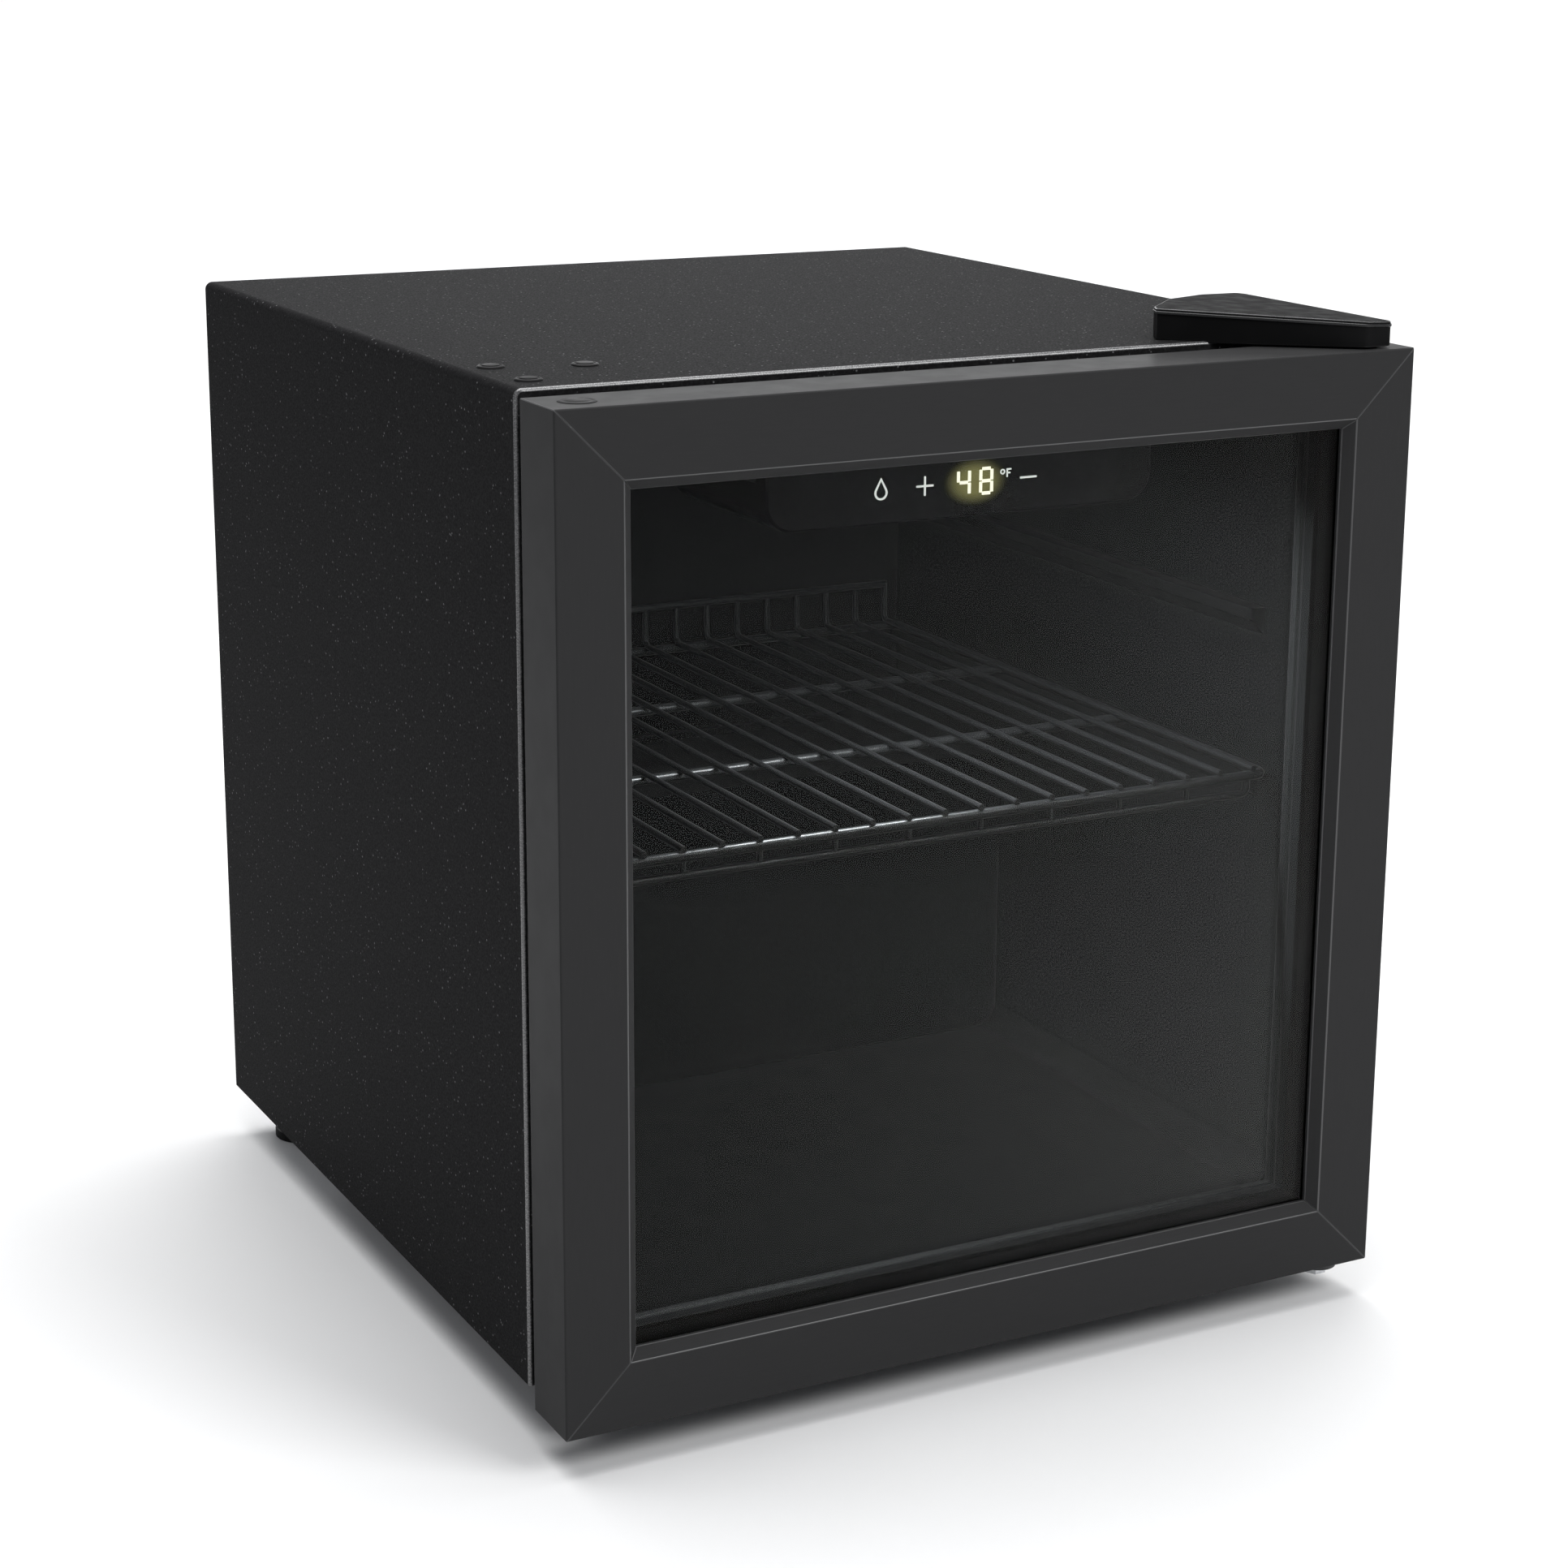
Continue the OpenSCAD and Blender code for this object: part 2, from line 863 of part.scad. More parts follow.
module foot_nuts() {
    color("#a5a8ab")
        for (s = [-1, 1])
            translate([s * foot_x, foot_y, z_cab])
                difference() {
                    union() {
                        translate([0, 0, sheet])
                            cylinder(r = 8.4, h = 1.6);
                        cylinder(r = 6, h = 12);
                    }
                    translate([0, 0, -1])
                        cylinder(r = stud_r + running, h = 16);
                }
}

module foot_stud(side) {
    color("#a5a8ab")
        translate([side * foot_x, foot_y, 4])
            cylinder(r = stud_r, h = stud_top - 4);
}

// Plastic pad with a knurled rim, which bears on the nut's underside when fully screwed in
module foot_pad(side) {
    ribs = 18;
    color("#1a1a1b")
        translate([side * foot_x, foot_y, 0])
            difference() {
                union() {
                    cylinder(r = 17, h = 9);
                    for (i = [0:ribs - 1])
                        rotate(i * 360 / ribs)
                            translate([15.5, -1.2, 0.5])
                                cube([2.7, 2.4, 8]);
                    cylinder(r1 = 15, r2 = 9, h = 17);
                    cylinder(r = 7.5, h = z_cab - 0.4);
                }
                translate([0, 0, 4])
                    cylinder(r = stud_r + running, h = z_cab);
            }
}

// ---------------------------------------------------------------- hinges

hinge_plate_pts = [
    [156, -148], [158, -137], [168, -131], [206, -119], [209.5, -122], [209.5, -196],
    [210.5, -226], [208, -230.5], [199, -230.5], [196, -226], [190, -188]
];

module upper_hinge_plate() {
    color("#34363a")
        difference() {
            translate([0, 0, z_top])
                linear_extrude(hinge_plate_t)
                    polygon(hinge_plate_pts);
            translate([pin_x, pin_y, z_top - 1])
                cylinder(r = pin_r, h = 5);
            for (p = hinge_screws)
                translate([p[0], p[1], z_top - 1])
                    cylinder(r = screw_r + 0.1, h = 5);
        }
}

module upper_hinge_pin() {
    color("#a5a8ab")
        translate([pin_x, pin_y, 0]) {
            translate([0, 0, z_door_top - 14])
                cylinder(r = pin_r, h = z_top + hinge_plate_t - z_door_top + 14);
            translate([0, 0, z_top + hinge_plate_t])
                cylinder(r = pin_r + 2, h = 1.5);
        }
}

module upper_hinge_screws() {
    color("#a5a8ab")
        for (p = hinge_screws)
            translate([p[0], p[1], z_top + hinge_plate_t])
                screw(4.2, 2.2, 12);
}

// Plan of the hinge cover, counter-clockwise from above, with its narrow end over the door
cover_left = 117;
cover_right = 213;
cover_pts = concat(
    [[cover_left, -177]],
    arc([198, -232], 4.5, 234, 270, 3),
    arc([cover_right - 5.5, -231], 5.5, 270, 360, 4),
    arc([cover_right - 6, -116], 6, 0, 70, 4),
    [[184, -117], [152, -136], [121, -169]]
);
cover_low = z_top + 10.5;
cover_high = z_top + 15;
cover_wall = 2;

// Everything above a roof plane that falls from the cover's left end to its right end
module above_roof(drop) {
    slope = atan((cover_high - cover_low) / (cover_right - cover_left));
    translate([cover_left, 0, cover_high - drop])
        rotate([0, slope, 0])
            translate([-50, -300, 0])
                cube([250, 250, 60]);
}

module cover_outside() {
    difference() {
        translate([0, 0, z_top - 1.1])
            linear_extrude(cover_high + 10 - z_top)
                polygon(cover_pts);
        above_roof(0);
        block([100, y_cab, z_top - 10], [230, -100, z_top]);
    }
}

module cover_hollow() {
    difference() {
        translate([0, 0, z_top - 3])
            linear_extrude(cover_high + 10 - z_top)
                polygon(inset_polygon(cover_pts, cover_wall));
        above_roof(cover_wall);
    }
}

module upper_hinge_cover() {
    color("#1c1c1d")
        difference() {
            cover_outside();
            cover_hollow();
        }
}

module lower_hinge_bracket() {
    tip = [pin_x, pin_y];
    color("#2a2b2d")
        difference() {
            union() {
                block([158, y_cab + 0.2, z_cab - bracket_t], [216, -140, z_cab]);
                block([184, y_cab + 0.2, bracket_z], [216, y_cab + 0.2 + bracket_t, z_cab]);
                block([184, pin_y, bracket_z], [216, y_cab + 0.2 + bracket_t, bracket_z + bracket_t]);
                block([pin_x - 10, pin_y - 2, bracket_z], [pin_x + 10, pin_y + 4, bracket_z + bracket_t]);
                translate([tip[0], tip[1] - 1, bracket_z])
                    cylinder(r = 10, h = bracket_t);
                // Stop for the lug on the door's lower bush
                block([tip[0] + stop_r - 1.9, tip[1], bracket_z], [216, tip[1] + 6, door_lift - 0.4]);
            }
            translate([tip[0], tip[1], bracket_z - 1])
                cylinder(r = pin_r, h = 6);
            for (p = lower_screws)
                translate([p[0], p[1], z_cab - 5])
                    cylinder(r = screw_r + 0.1, h = 8);
        }
}

// The lower pin has a hexagon head below the bracket and carries the door on its collar
module lower_hinge_pin() {
    color("#a5a8ab")
        translate([pin_x, pin_y, 0]) {
            translate([0, 0, bracket_z])
                cylinder(r = pin_r, h = door_lift + 14 - bracket_z);
            translate([0, 0, bracket_z - 4.5])
                cylinder(r = 6, h = 4.5, $fn = 6);
            translate([0, 0, bracket_z + bracket_t])
                cylinder(r = 7, h = 0.9);
        }
}

module lower_hinge_screws() {
    color("#a5a8ab")
        for (p = lower_screws)
            translate([p[0], p[1], z_cab - bracket_t])
                mirror([0, 0, 1])
                    screw(4.2, 2.2, 11);
}

// Plugs in the spare hinge holes on the left
module hinge_hole_plugs() {
    color("#101011")
        for (p = hinge_screws)
            translate([-p[0], p[1], z_top]) {
                cylinder(r1 = 6.4, r2 = 5.4, h = 1.2);
                translate([0, 0, -6])
                    cylinder(r = screw_r, h = 6);
            }
}

// ---------------------------------------------------------------- controls and lighting

// Face of the housing, drawn in X and Z, with round lower corners
module housing_section(inset, top) {
    r = box_r - inset;
    half = box_half - inset;
    low = box_z + inset;
    polygon(concat(
        [[box_x - half, top], [box_x - half, low + r]],
        arc([box_x - half + r, low + r], r, 180, 270, 8),
        arc([box_x + half - r, low + r], r, 270, 360, 8),
        [[box_x + half, low + r], [box_x + half, top]]
    ));
}

module control_housing() {
    color("#121213")
        difference() {
            along_y(box_y, box_y + box_d)
                housing_section(0, in_top);
            along_y(box_y + box_wall, box_y + box_d - box_wall)
                housing_section(box_wall, in_top + 1);
            block(
                [box_x - lamp_half, lamp_y, box_z - 1],
                [box_x + lamp_half, lamp_y + lamp_d, box_z + box_wall + 1]
            );
            for (s = [-1, 1], z = [box_z + 22, box_z + 28])
                block(
                    [box_x + s * box_half - 4, vent_y - vent_half, z],
                    [box_x + s * box_half + 4, vent_y + vent_half, z + 2]
                );
            block([box_x - 40, box_y - 1, box_z + 8], [box_x + 60, box_y + box_wall + 1, box_z + 26]);
        }
}

// Glossy touch panel over the housing's front
module control_panel() {
    color("#050505")
        along_y(box_y - panel_t, box_y)
            housing_section(1.2, in_top - 1);
}

// One seven-segment digit on the panel's face, drawn in X and Z; lit is a string of segments a to g
module digit(lit) {
    w = 7.4;
    h = 13;
    t = 1.5;
    function on(s) = len(search(s, lit)) > 0;
    if (on("a")) translate([t, h - t]) square([w - 2 * t, t]);
    if (on("g")) translate([t, (h - t) / 2]) square([w - 2 * t, t]);
    if (on("d")) translate([t, 0]) square([w - 2 * t, t]);
    if (on("f")) translate([0, (h + 0.6) / 2]) square([t, h / 2 - t]);
    if (on("b")) translate([w - t, (h + 0.6) / 2]) square([t, h / 2 - t]);
    if (on("e")) translate([0, t - 0.3]) square([t, h / 2 - t]);
    if (on("c")) translate([w - t, t - 0.3]) square([t, h / 2 - t]);
}

symbol_z = box_z + 10;

module control_symbols() {
    mid = symbol_z + 6.5;
    color("#f2f4e8")
        along_y(box_y - panel_t - symbol_t, box_y - panel_t) {
            translate([-1, symbol_z])
                digit("fgbc");
            translate([11, symbol_z])
                digit("abcdefg");
            translate([23.5, symbol_z + 10]) {
                difference() {
                    circle(1.3);
                    circle(0.7);
                }
            }
            translate([25.6, symbol_z + 7.4]) {
                square([0.7, 4]);
                translate([0, 3.3])
                    square([2.5, 0.7]);
                translate([0, 1.6])
                    square([2, 0.7]);
            }
            translate([33, mid - 0.45])
                square([9, 0.9]);
            translate([-22.5, mid - 0.45])
                square([9, 0.9]);
            translate([-18.45, mid - 4.5])
                square([0.9, 9]);
            translate([-41, mid])
                difference() {
                    drop_shape(0);
                    drop_shape(0.9);
                }
        }
}

// Teardrop outline, shrunk by an inset
module drop_shape(inset) {
    r = 3.4 - inset;
    polygon(concat(arc([0, -1.4], r, 145, 395, 16), [[0, 5.6 - 1.6 * inset]]));
}

module control_board() {
    y0 = box_y + box_wall + 1.4;
    color("#1f5a38")
        block([box_x - 56, y0, box_z + 6], [box_x + 66, y0 + 1.6, box_z + 34]);
    color("#1b1b1c")
        block([box_x - 10, box_y, box_z + 9], [box_x + 20, y0, box_z + 25]);
    color("#d8d4c4")
        block([box_x + 30, y0 + 1.6, box_z + 10], [box_x + 46, y0 + 9, box_z + 20]);
}

module led_strip() {
    leds = 6;
    pitch = (2 * lamp_half - 32) / (leds - 1);
    z0 = box_z + lens_h;
    color("#e9e9e2")
        block(
            [box_x - lamp_half + 0.2, lamp_y + 0.2, z0],
            [box_x + lamp_half - 0.2, lamp_y + lamp_d - 0.2, z0 + 1.4]
        );
    color("#fff7c8")
        for (i = [0:leds - 1])
            translate([box_x - lamp_half + 16 + i * pitch, lamp_y + lamp_d / 2, z0 - 0.7])
                cube([4.4, 4.4, 1.4], center = true);
}

// Trough-shaped lens in the housing's floor, which carries the lamp's board on its rim
module lamp_lens() {
    color("#f4f6f8")
        difference() {
            block(
                [box_x - lamp_half + 0.2, lamp_y + 0.2, box_z - 1],
                [box_x + lamp_half - 0.2, lamp_y + lamp_d - 0.2, box_z + lens_h]
            );
            block(
                [box_x - lamp_half + 2, lamp_y + 2, box_z + 0.6],
                [box_x + lamp_half - 2, lamp_y + lamp_d - 2, box_z + lens_h + 1]
            );
        }
}

// Thermistor bulb in a clip behind the housing's side vents
module temperature_sensor() {
    x = box_x + box_half - 10;
    color("#e8e8e8") {
        translate([x, vent_y - 14, box_z + 25])
            rotate([-90, 0, 0])
                cylinder(r = 2.5, h = 24);
        block([x - 3.5, vent_y - 4, box_z + 22], [x + 3.5, vent_y + 4, box_z + 28]);
        block([x - 1, vent_y - 3, box_z + 28], [x + 1, vent_y + 3, in_top - 0.2]);
    }
}

// ---------------------------------------------------------------- shelf

module rod_x(y, z, half, r) {
    translate([-half, y, z])
        rotate([0, 90, 0])
            cylinder(r = r, h = 2 * half, $fn = 20);
}

function shelf_wire_x(i) = (2 * i / (shelf_wires - 1) - 1) * (shelf_half - 10);

module wire_shelf() {
    color("#1a1a1b") {
        for (s = [-1, 1])
            translate([s * (shelf_half - rod_r), shelf_front, shelf_rod_z])
                rotate([-90, 0, 0])
                    cylinder(r = rod_r, h = shelf_back - shelf_front, $fn = 20);
        for (y = [shelf_front, shelf_back])
            rod_x(y, shelf_rod_z, shelf_half - rod_r, rod_r);
        for (s = [-1, 1], y = [shelf_front, shelf_back])
            translate([s * (shelf_half - rod_r), y, shelf_rod_z])
                sphere(rod_r, $fn = 20);
        for (i = [1:2])
            rod_x(shelf_front + (shelf_back - shelf_front) * i / 3, shelf_rod_z, shelf_half - rod_r, rod_r);
        // Second front rod, below the first, on short droppers
        rod_x(shelf_front, shelf_rod_z - 9, shelf_half - ledge_w - 3, 1.9);
        for (i = [0:2:shelf_wires - 1])
            translate([shelf_wire_x(i) * 0.96, shelf_front, shelf_rod_z - 9])
                cylinder(r = 1.4, h = 9, $fn = 16);
        for (i = [0:shelf_wires - 1])
            translate([shelf_wire_x(i), shelf_front, shelf_wire_z])
                rotate([-90, 0, 0])
                    cylinder(r = wire_r, h = shelf_back - shelf_front - wire_r, $fn = 16);
    }
}

// Upright fence along the shelf's rear edge
module shelf_kerb() {
    color("#1a1a1b") {
        for (i = [0:shelf_wires - 1])
            translate([shelf_wire_x(i), shelf_back, shelf_wire_z])
                cylinder(r = wire_r, h = shelf_kerb_h, $fn = 16);
        rod_x(shelf_back, shelf_wire_z + shelf_kerb_h, shelf_half - 8, 2);
    }
}

// ---------------------------------------------------------------- door

// Section of the face frame: face, sloped inner edge, glass seat and outer side wall
frame_profile = concat(
    arc([0.9, 0.9], 0.9, 180, 270, 3),
    [
        [frame_w - chamfer, 0], [frame_w, chamfer], [frame_w, pane_y],
        [frame_w - 3.6, pane_y], [frame_w - 3.6, pane_y - 2.4],
        [frame_w - 3.6 - chamfer + frame_wall, frame_wall],
        [frame_wall, frame_wall], [frame_wall, door_t], [0, door_t]
    ]
);

module frame_side(side) {
    w = side % 2 == 0 ? door_w : door_h;
    offset_out = (side % 2 == 0 ? door_h : door_w) / 2;
    translate([0, y_front, door_lift + door_h / 2])
        rotate([0, side * 90, 0])
            translate([0, 0, offset_out])
                mitred_bar(w, frame_w, frame_profile);
}

// Holes for the bushes and plugs in a rail's outer wall
module rail_holes(z) {
    for (s = [-1, 1])
        translate([s * pin_x, pin_y, z - 4])
            cylinder(r = bush_r + 0.1, h = 8);
}

module door_top_rail() {
    color("#2a2a2c")
        difference() {
            frame_side(0);
            rail_holes(z_door_top);
        }
}

module door_bottom_rail() {
    color("#2a2a2c")
        difference() {
            frame_side(2);
            rail_holes(door_lift);
        }
}

module door_left_stile() {
    color("#2a2a2c")
        frame_side(3);
}

module door_right_stile() {
    color("#2a2a2c")
        frame_side(1);
}

// Angle pieces that lock the mitred corners from inside
module door_corner_keys() {
    arm = 42;
    t = key_t;
    gap = 0.15;
    color("#8f9296")
        for (sx = [0, 1], sz = [0, 1])
            translate([0, y_door - 11.5, door_lift + door_h / 2])
                mirror([sx, 0, 0])
                    mirror([0, 0, sz])
                        translate([door_w / 2 - frame_wall - gap, 0, door_h / 2 - frame_wall - gap]) {
                            translate([-arm, 0, -t])
                                cube([arm, 6, t]);
                            translate([-t, 0, -arm])
                                cube([t, 6, arm]);
                        }
}

module pane(y) {
    x = door_w / 2 - frame_w + pane_lap;
    z = frame_w - pane_lap;
    block([-x, y_front + y, door_lift + z], [x, y_front + y + pane_t, z_door_top - z]);
}

module outer_glass() {
    color("#8fa3a0", 0.3)
        pane(pane_y);
}

module inner_glass() {
    color("#8fa3a0", 0.3)
        pane(inner_pane_y);
}

// Hollow aluminium spacer between the panes
module glass_spacer() {
    inset = frame_w - pane_lap + 4;
    color("#2e2f31")
        mitred_ring(inset, 7, [
            [0, pane_y + pane_t], [7, pane_y + pane_t], [7, inner_pane_y], [0, inner_pane_y]
        ]);
}

// Plastic inner frame that holds the glass unit and the gasket
module door_inner_frame() {
    inset = frame_wall + 0.2;
    lap = frame_w - inset;
    color("#121213")
        mitred_ring(inset, lap, [
            [0, retainer_y + 4], [frame_w - pane_lap - inset - 0.4, retainer_y + 4],
            [frame_w - pane_lap - inset - 0.4, retainer_y], [lap, retainer_y],
            [lap, door_t - 2], [lap - 2, door_t], [0, door_t]
        ]);
}

gasket_out = 16.5;
gasket_w = 18;

// Soft gasket: a base, two bellows grooves and a magnet bulb that meets the cabinet
module door_gasket() {
    tip = door_t + seal_gap - 0.3;
    magnet = [[4.6, tip - 4], [13.4, tip - 4], [13.4, tip - 1], [4.6, tip - 1]];
    color("#161617")
        difference() {
            mitred_ring(gasket_out, gasket_w, [
                [0, door_t], [gasket_w, door_t], [gasket_w, door_t + 2.4], [gasket_w - 2.6, door_t + 4.2],
                [gasket_w - 0.6, door_t + 6], [gasket_w - 0.6, tip - 1.4], [gasket_w - 2, tip],
                [6.5, tip], [3.2, tip - 2.4], [0.6, door_t + 6.2], [2.8, door_t + 4.4], [0, door_t + 2.6]
            ]);
            mitred_ring(gasket_out, gasket_w, magnet);
        }
}

module gasket_magnets() {
    tip = door_t + seal_gap - 0.3;
    inset = gasket_out + 4.8;
    color("#3a3230")
        mitred_ring(inset, 8.4, [[0, tip - 3.8], [8.4, tip - 3.8], [8.4, tip - 1.2], [0, tip - 1.2]]);
}

module bush(length) {
    difference() {
        union() {
            cylinder(r = bush_r, h = length);
            translate([0, 0, length])
                cylinder(r = bush_r + 2, h = bush_flange_t);
        }
        translate([0, 0, 2])
            cylinder(r = pin_r + running, h = length + 2);
    }
}

// Bushes in the two rails; the lower one has a lug that meets the bracket's stop
module door_hinge_bushes() {
    length = 18;
    color("#dcdcd6") {
        translate([pin_x, pin_y, z_door_top - length])
            bush(length);
        translate([pin_x, pin_y, door_lift + length])
            mirror([0, 0, 1])
                bush(length);
        translate([pin_x, pin_y, door_lift - 1.6])
            rotate(360 - stop_lug_at - door_opening)
                translate([stop_r - 3.6, -1.5, 0])
                    cube([5.1, 3, 1.6]);
    }
}

module door_hole_plugs() {
    color("#101011")
        for (top = [0, 1])
            translate([-pin_x, pin_y, top ? z_door_top : door_lift])
                mirror([0, 0, 1 - top]) {
                    cylinder(r1 = 9, r2 = 8, h = 0.8);
                    translate([0, 0, -7])
                        cylinder(r = bush_r, h = 7);
                }
}

// ---------------------------------------------------------------- assembly

outer_wrapper();
back_panel();
back_panel_screws();
base_panel();
bay_panel();
compressor_tray();
insulation_foam();
inner_liner();
hinge_backing_plates();
evaporator_plate();
evaporator_tube();
condenser_tubes();
drain_tube();
drip_tray();
compressor_motor();
compressor_lower_shell();
compressor_upper_shell();
compressor_grommets();
compressor_bolts();
relay_cover();
filter_drier();
refrigerant_lines();
cord_gland();
bay_wiring();
rear_feet();
foot_nuts();
foot_stud(-1);  // left_foot_stud
foot_pad(-1);  // left_foot_pad
foot_stud(1);  // right_foot_stud
foot_pad(1);  // right_foot_pad
upper_hinge_plate();
upper_hinge_pin();
upper_hinge_screws();
upper_hinge_cover();
lower_hinge_bracket();
lower_hinge_pin();
lower_hinge_screws();
hinge_hole_plugs();
control_housing();
control_panel();
control_symbols();
control_board();
led_strip();
lamp_lens();
temperature_sensor();
wire_shelf();
shelf_kerb();
door_top_rail();
door_bottom_rail();
door_left_stile();
door_right_stile();
door_corner_keys();
outer_glass();
inner_glass();
glass_spacer();
door_inner_frame();
door_gasket();
gasket_magnets();
door_hinge_bushes();
door_hole_plugs();
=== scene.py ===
import math

import bmesh
import bpy
from mathutils import Matrix, Vector


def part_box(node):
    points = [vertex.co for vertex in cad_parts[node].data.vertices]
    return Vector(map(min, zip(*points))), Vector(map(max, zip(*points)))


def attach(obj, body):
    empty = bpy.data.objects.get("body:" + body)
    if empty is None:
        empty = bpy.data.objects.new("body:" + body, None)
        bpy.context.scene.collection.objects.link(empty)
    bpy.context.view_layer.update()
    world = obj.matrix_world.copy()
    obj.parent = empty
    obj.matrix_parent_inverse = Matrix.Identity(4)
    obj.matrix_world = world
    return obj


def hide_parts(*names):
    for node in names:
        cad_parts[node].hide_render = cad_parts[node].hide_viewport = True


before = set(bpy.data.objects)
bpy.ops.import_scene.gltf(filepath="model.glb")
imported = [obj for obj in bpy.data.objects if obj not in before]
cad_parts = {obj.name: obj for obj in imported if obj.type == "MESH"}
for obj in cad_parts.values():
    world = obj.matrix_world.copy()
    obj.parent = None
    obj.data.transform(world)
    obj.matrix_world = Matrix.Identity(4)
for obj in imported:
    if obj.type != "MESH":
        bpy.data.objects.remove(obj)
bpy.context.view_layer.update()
scene = bpy.context.scene

MM = 0.001
SHEET = 0.6 * MM
UP = Vector((0, 0, 1))


# ------------------------------------------------------------------ camera

CAMERA_PLACE = Vector((-0.7402, -1.4409, 0.6913))
CAMERA_AZIMUTH = -27.52
CAMERA_DROP = 14.19
CAMERA_ROLL = 0.32
LENS_MM = 73.14
SHIFT_UP = -0.0497


def make_camera():
    az = math.radians(CAMERA_AZIMUTH)
    drop = math.radians(CAMERA_DROP)
    roll = math.radians(CAMERA_ROLL)
    ahead = Vector((-math.sin(az) * math.cos(drop), math.cos(az) * math.cos(drop), -math.sin(drop)))
    level = Vector((math.cos(az), math.sin(az), 0))
    lift = level.cross(ahead)
    right = math.cos(roll) * level + math.sin(roll) * lift
    up = right.cross(ahead)
    data = bpy.data.cameras.new("Camera")
    data.sensor_width = 36
    data.lens = LENS_MM
    data.shift_y = SHIFT_UP
    data.clip_start = 0.05
    data.clip_end = 50
    camera = bpy.data.objects.new("Camera", data)
    turn = Matrix((right, up, -ahead)).transposed().to_4x4()
    camera.matrix_world = Matrix.Translation(CAMERA_PLACE) @ turn
    scene.collection.objects.link(camera)
    scene.camera = camera


# ------------------------------------------------------------------ materials


class Paint:
    """A Principled material whose patterns are laid out in metres on the object."""

    def __init__(self, name, color, rough, metal=0.0, specular=0.5):
        self.mat = bpy.data.materials.new(name)
        self.mat.use_nodes = True
        self.nodes = self.mat.node_tree.nodes
        self.links = self.mat.node_tree.links
        self.shader = self.nodes["Principled BSDF"]
        self.place = self.nodes.new("ShaderNodeTexCoord").outputs["Object"]
        self.height = None
        self.set("Base Color", (*color, 1))
        self.set("Roughness", rough)
        self.set("Metallic", metal)
        self.set("Specular IOR Level", specular)

    def set(self, socket, value):
        self.shader.inputs[socket].default_value = value

    def stretched(self, stretch):
        node = self.nodes.new("ShaderNodeMapping")
        node.inputs["Scale"].default_value = stretch
        self.links.new(self.place, node.inputs["Vector"])
        return node.outputs["Vector"]

    def noise(self, size, detail, stretch=(1, 1, 1)):
        """Noise whose features are about size metres across."""
        node = self.nodes.new("ShaderNodeTexNoise")
        node.inputs["Scale"].default_value = 1 / size
        node.inputs["Detail"].default_value = detail
        self.links.new(self.stretched(stretch), node.inputs["Vector"])
        return node.outputs["Fac"]

    def cells(self, size, output="Distance"):
        node = self.nodes.new("ShaderNodeTexVoronoi")
        node.inputs["Scale"].default_value = 1 / size
        self.links.new(self.place, node.inputs["Vector"])
        return node.outputs[output]

    def ramp(self, value, low, high, out_low=0.0, out_high=1.0):
        node = self.nodes.new("ShaderNodeMapRange")
        node.interpolation_type = "SMOOTHSTEP"
        for socket, number in zip(
            ("From Min", "From Max", "To Min", "To Max"), (low, high, out_low, out_high)
        ):
            node.inputs[socket].default_value = number
        self.links.new(value, node.inputs["Value"])
        return node.outputs["Result"]

    def math(self, operation, a, b=None):
        node = self.nodes.new("ShaderNodeMath")
        node.operation = operation
        for socket, value in zip(node.inputs, (a, b)):
            if value is None:
                continue
            if isinstance(value, (int, float)):
                socket.default_value = value
            else:
                self.links.new(value, socket)
        return node.outputs[0]

    def tint(self, factor, color):
        """Lays another colour over the present one where factor is 1."""
        node = self.nodes.new("ShaderNodeMix")
        node.data_type = "RGBA"
        base = self.shader.inputs["Base Color"]
        if base.is_linked:
            self.links.new(base.links[0].from_socket, node.inputs["A"])
        else:
            node.inputs["A"].default_value = base.default_value
        node.inputs["B"].default_value = (*color, 1)
        self.links.new(factor, node.inputs["Factor"])
        self.links.new(node.outputs["Result"], base)

    def roughness(self, value, low, high):
        self.links.new(self.ramp(value, 0.3, 0.7, low, high), self.shader.inputs["Roughness"])

    def glow(self, factor, color, other):
        """Gives off one colour where factor is 0 and the other where it is 1."""
        node = self.nodes.new("ShaderNodeMix")
        node.data_type = "RGBA"
        node.inputs["A"].default_value = (*color, 1)
        node.inputs["B"].default_value = (*other, 1)
        self.links.new(factor, node.inputs["Factor"])
        self.links.new(node.outputs["Result"], self.shader.inputs["Emission Color"])
        self.set("Emission Strength", 1.0)

    def bump(self, value, depth):
        """Adds relief of about depth metres."""
        node = self.nodes.new("ShaderNodeBump")
        node.inputs["Strength"].default_value = 1.0
        node.inputs["Distance"].default_value = depth
        self.links.new(value, node.inputs["Height"])
        if self.height is not None:
            self.links.new(self.height, node.inputs["Normal"])
        self.height = node.outputs["Normal"]
        self.links.new(self.height, self.shader.inputs["Normal"])


def powder_coat(name, color, speck, specular=0.012, rough=0.6, relief=0.03):
    """Matt paint with pale flecks and an orange-peel skin of relief millimetres."""
    p = Paint(name, color, rough, specular=specular)
    p.tint(p.ramp(p.noise(1.3 * MM, 4), 0.35, 0.7), tuple(1.8 * c for c in color))
    near = p.ramp(p.cells(3.2 * MM), 0.08, 0.2, 1, 0)
    pick = p.ramp(p.noise(2.4 * MM, 0), 0.48, 0.6)
    p.tint(p.math("MULTIPLY", near, pick), speck)
    p.roughness(p.noise(0.8 * MM, 2), rough - 0.1, rough + 0.1)
    p.bump(p.noise(0.9 * MM, 3), relief * MM)
    return p.mat


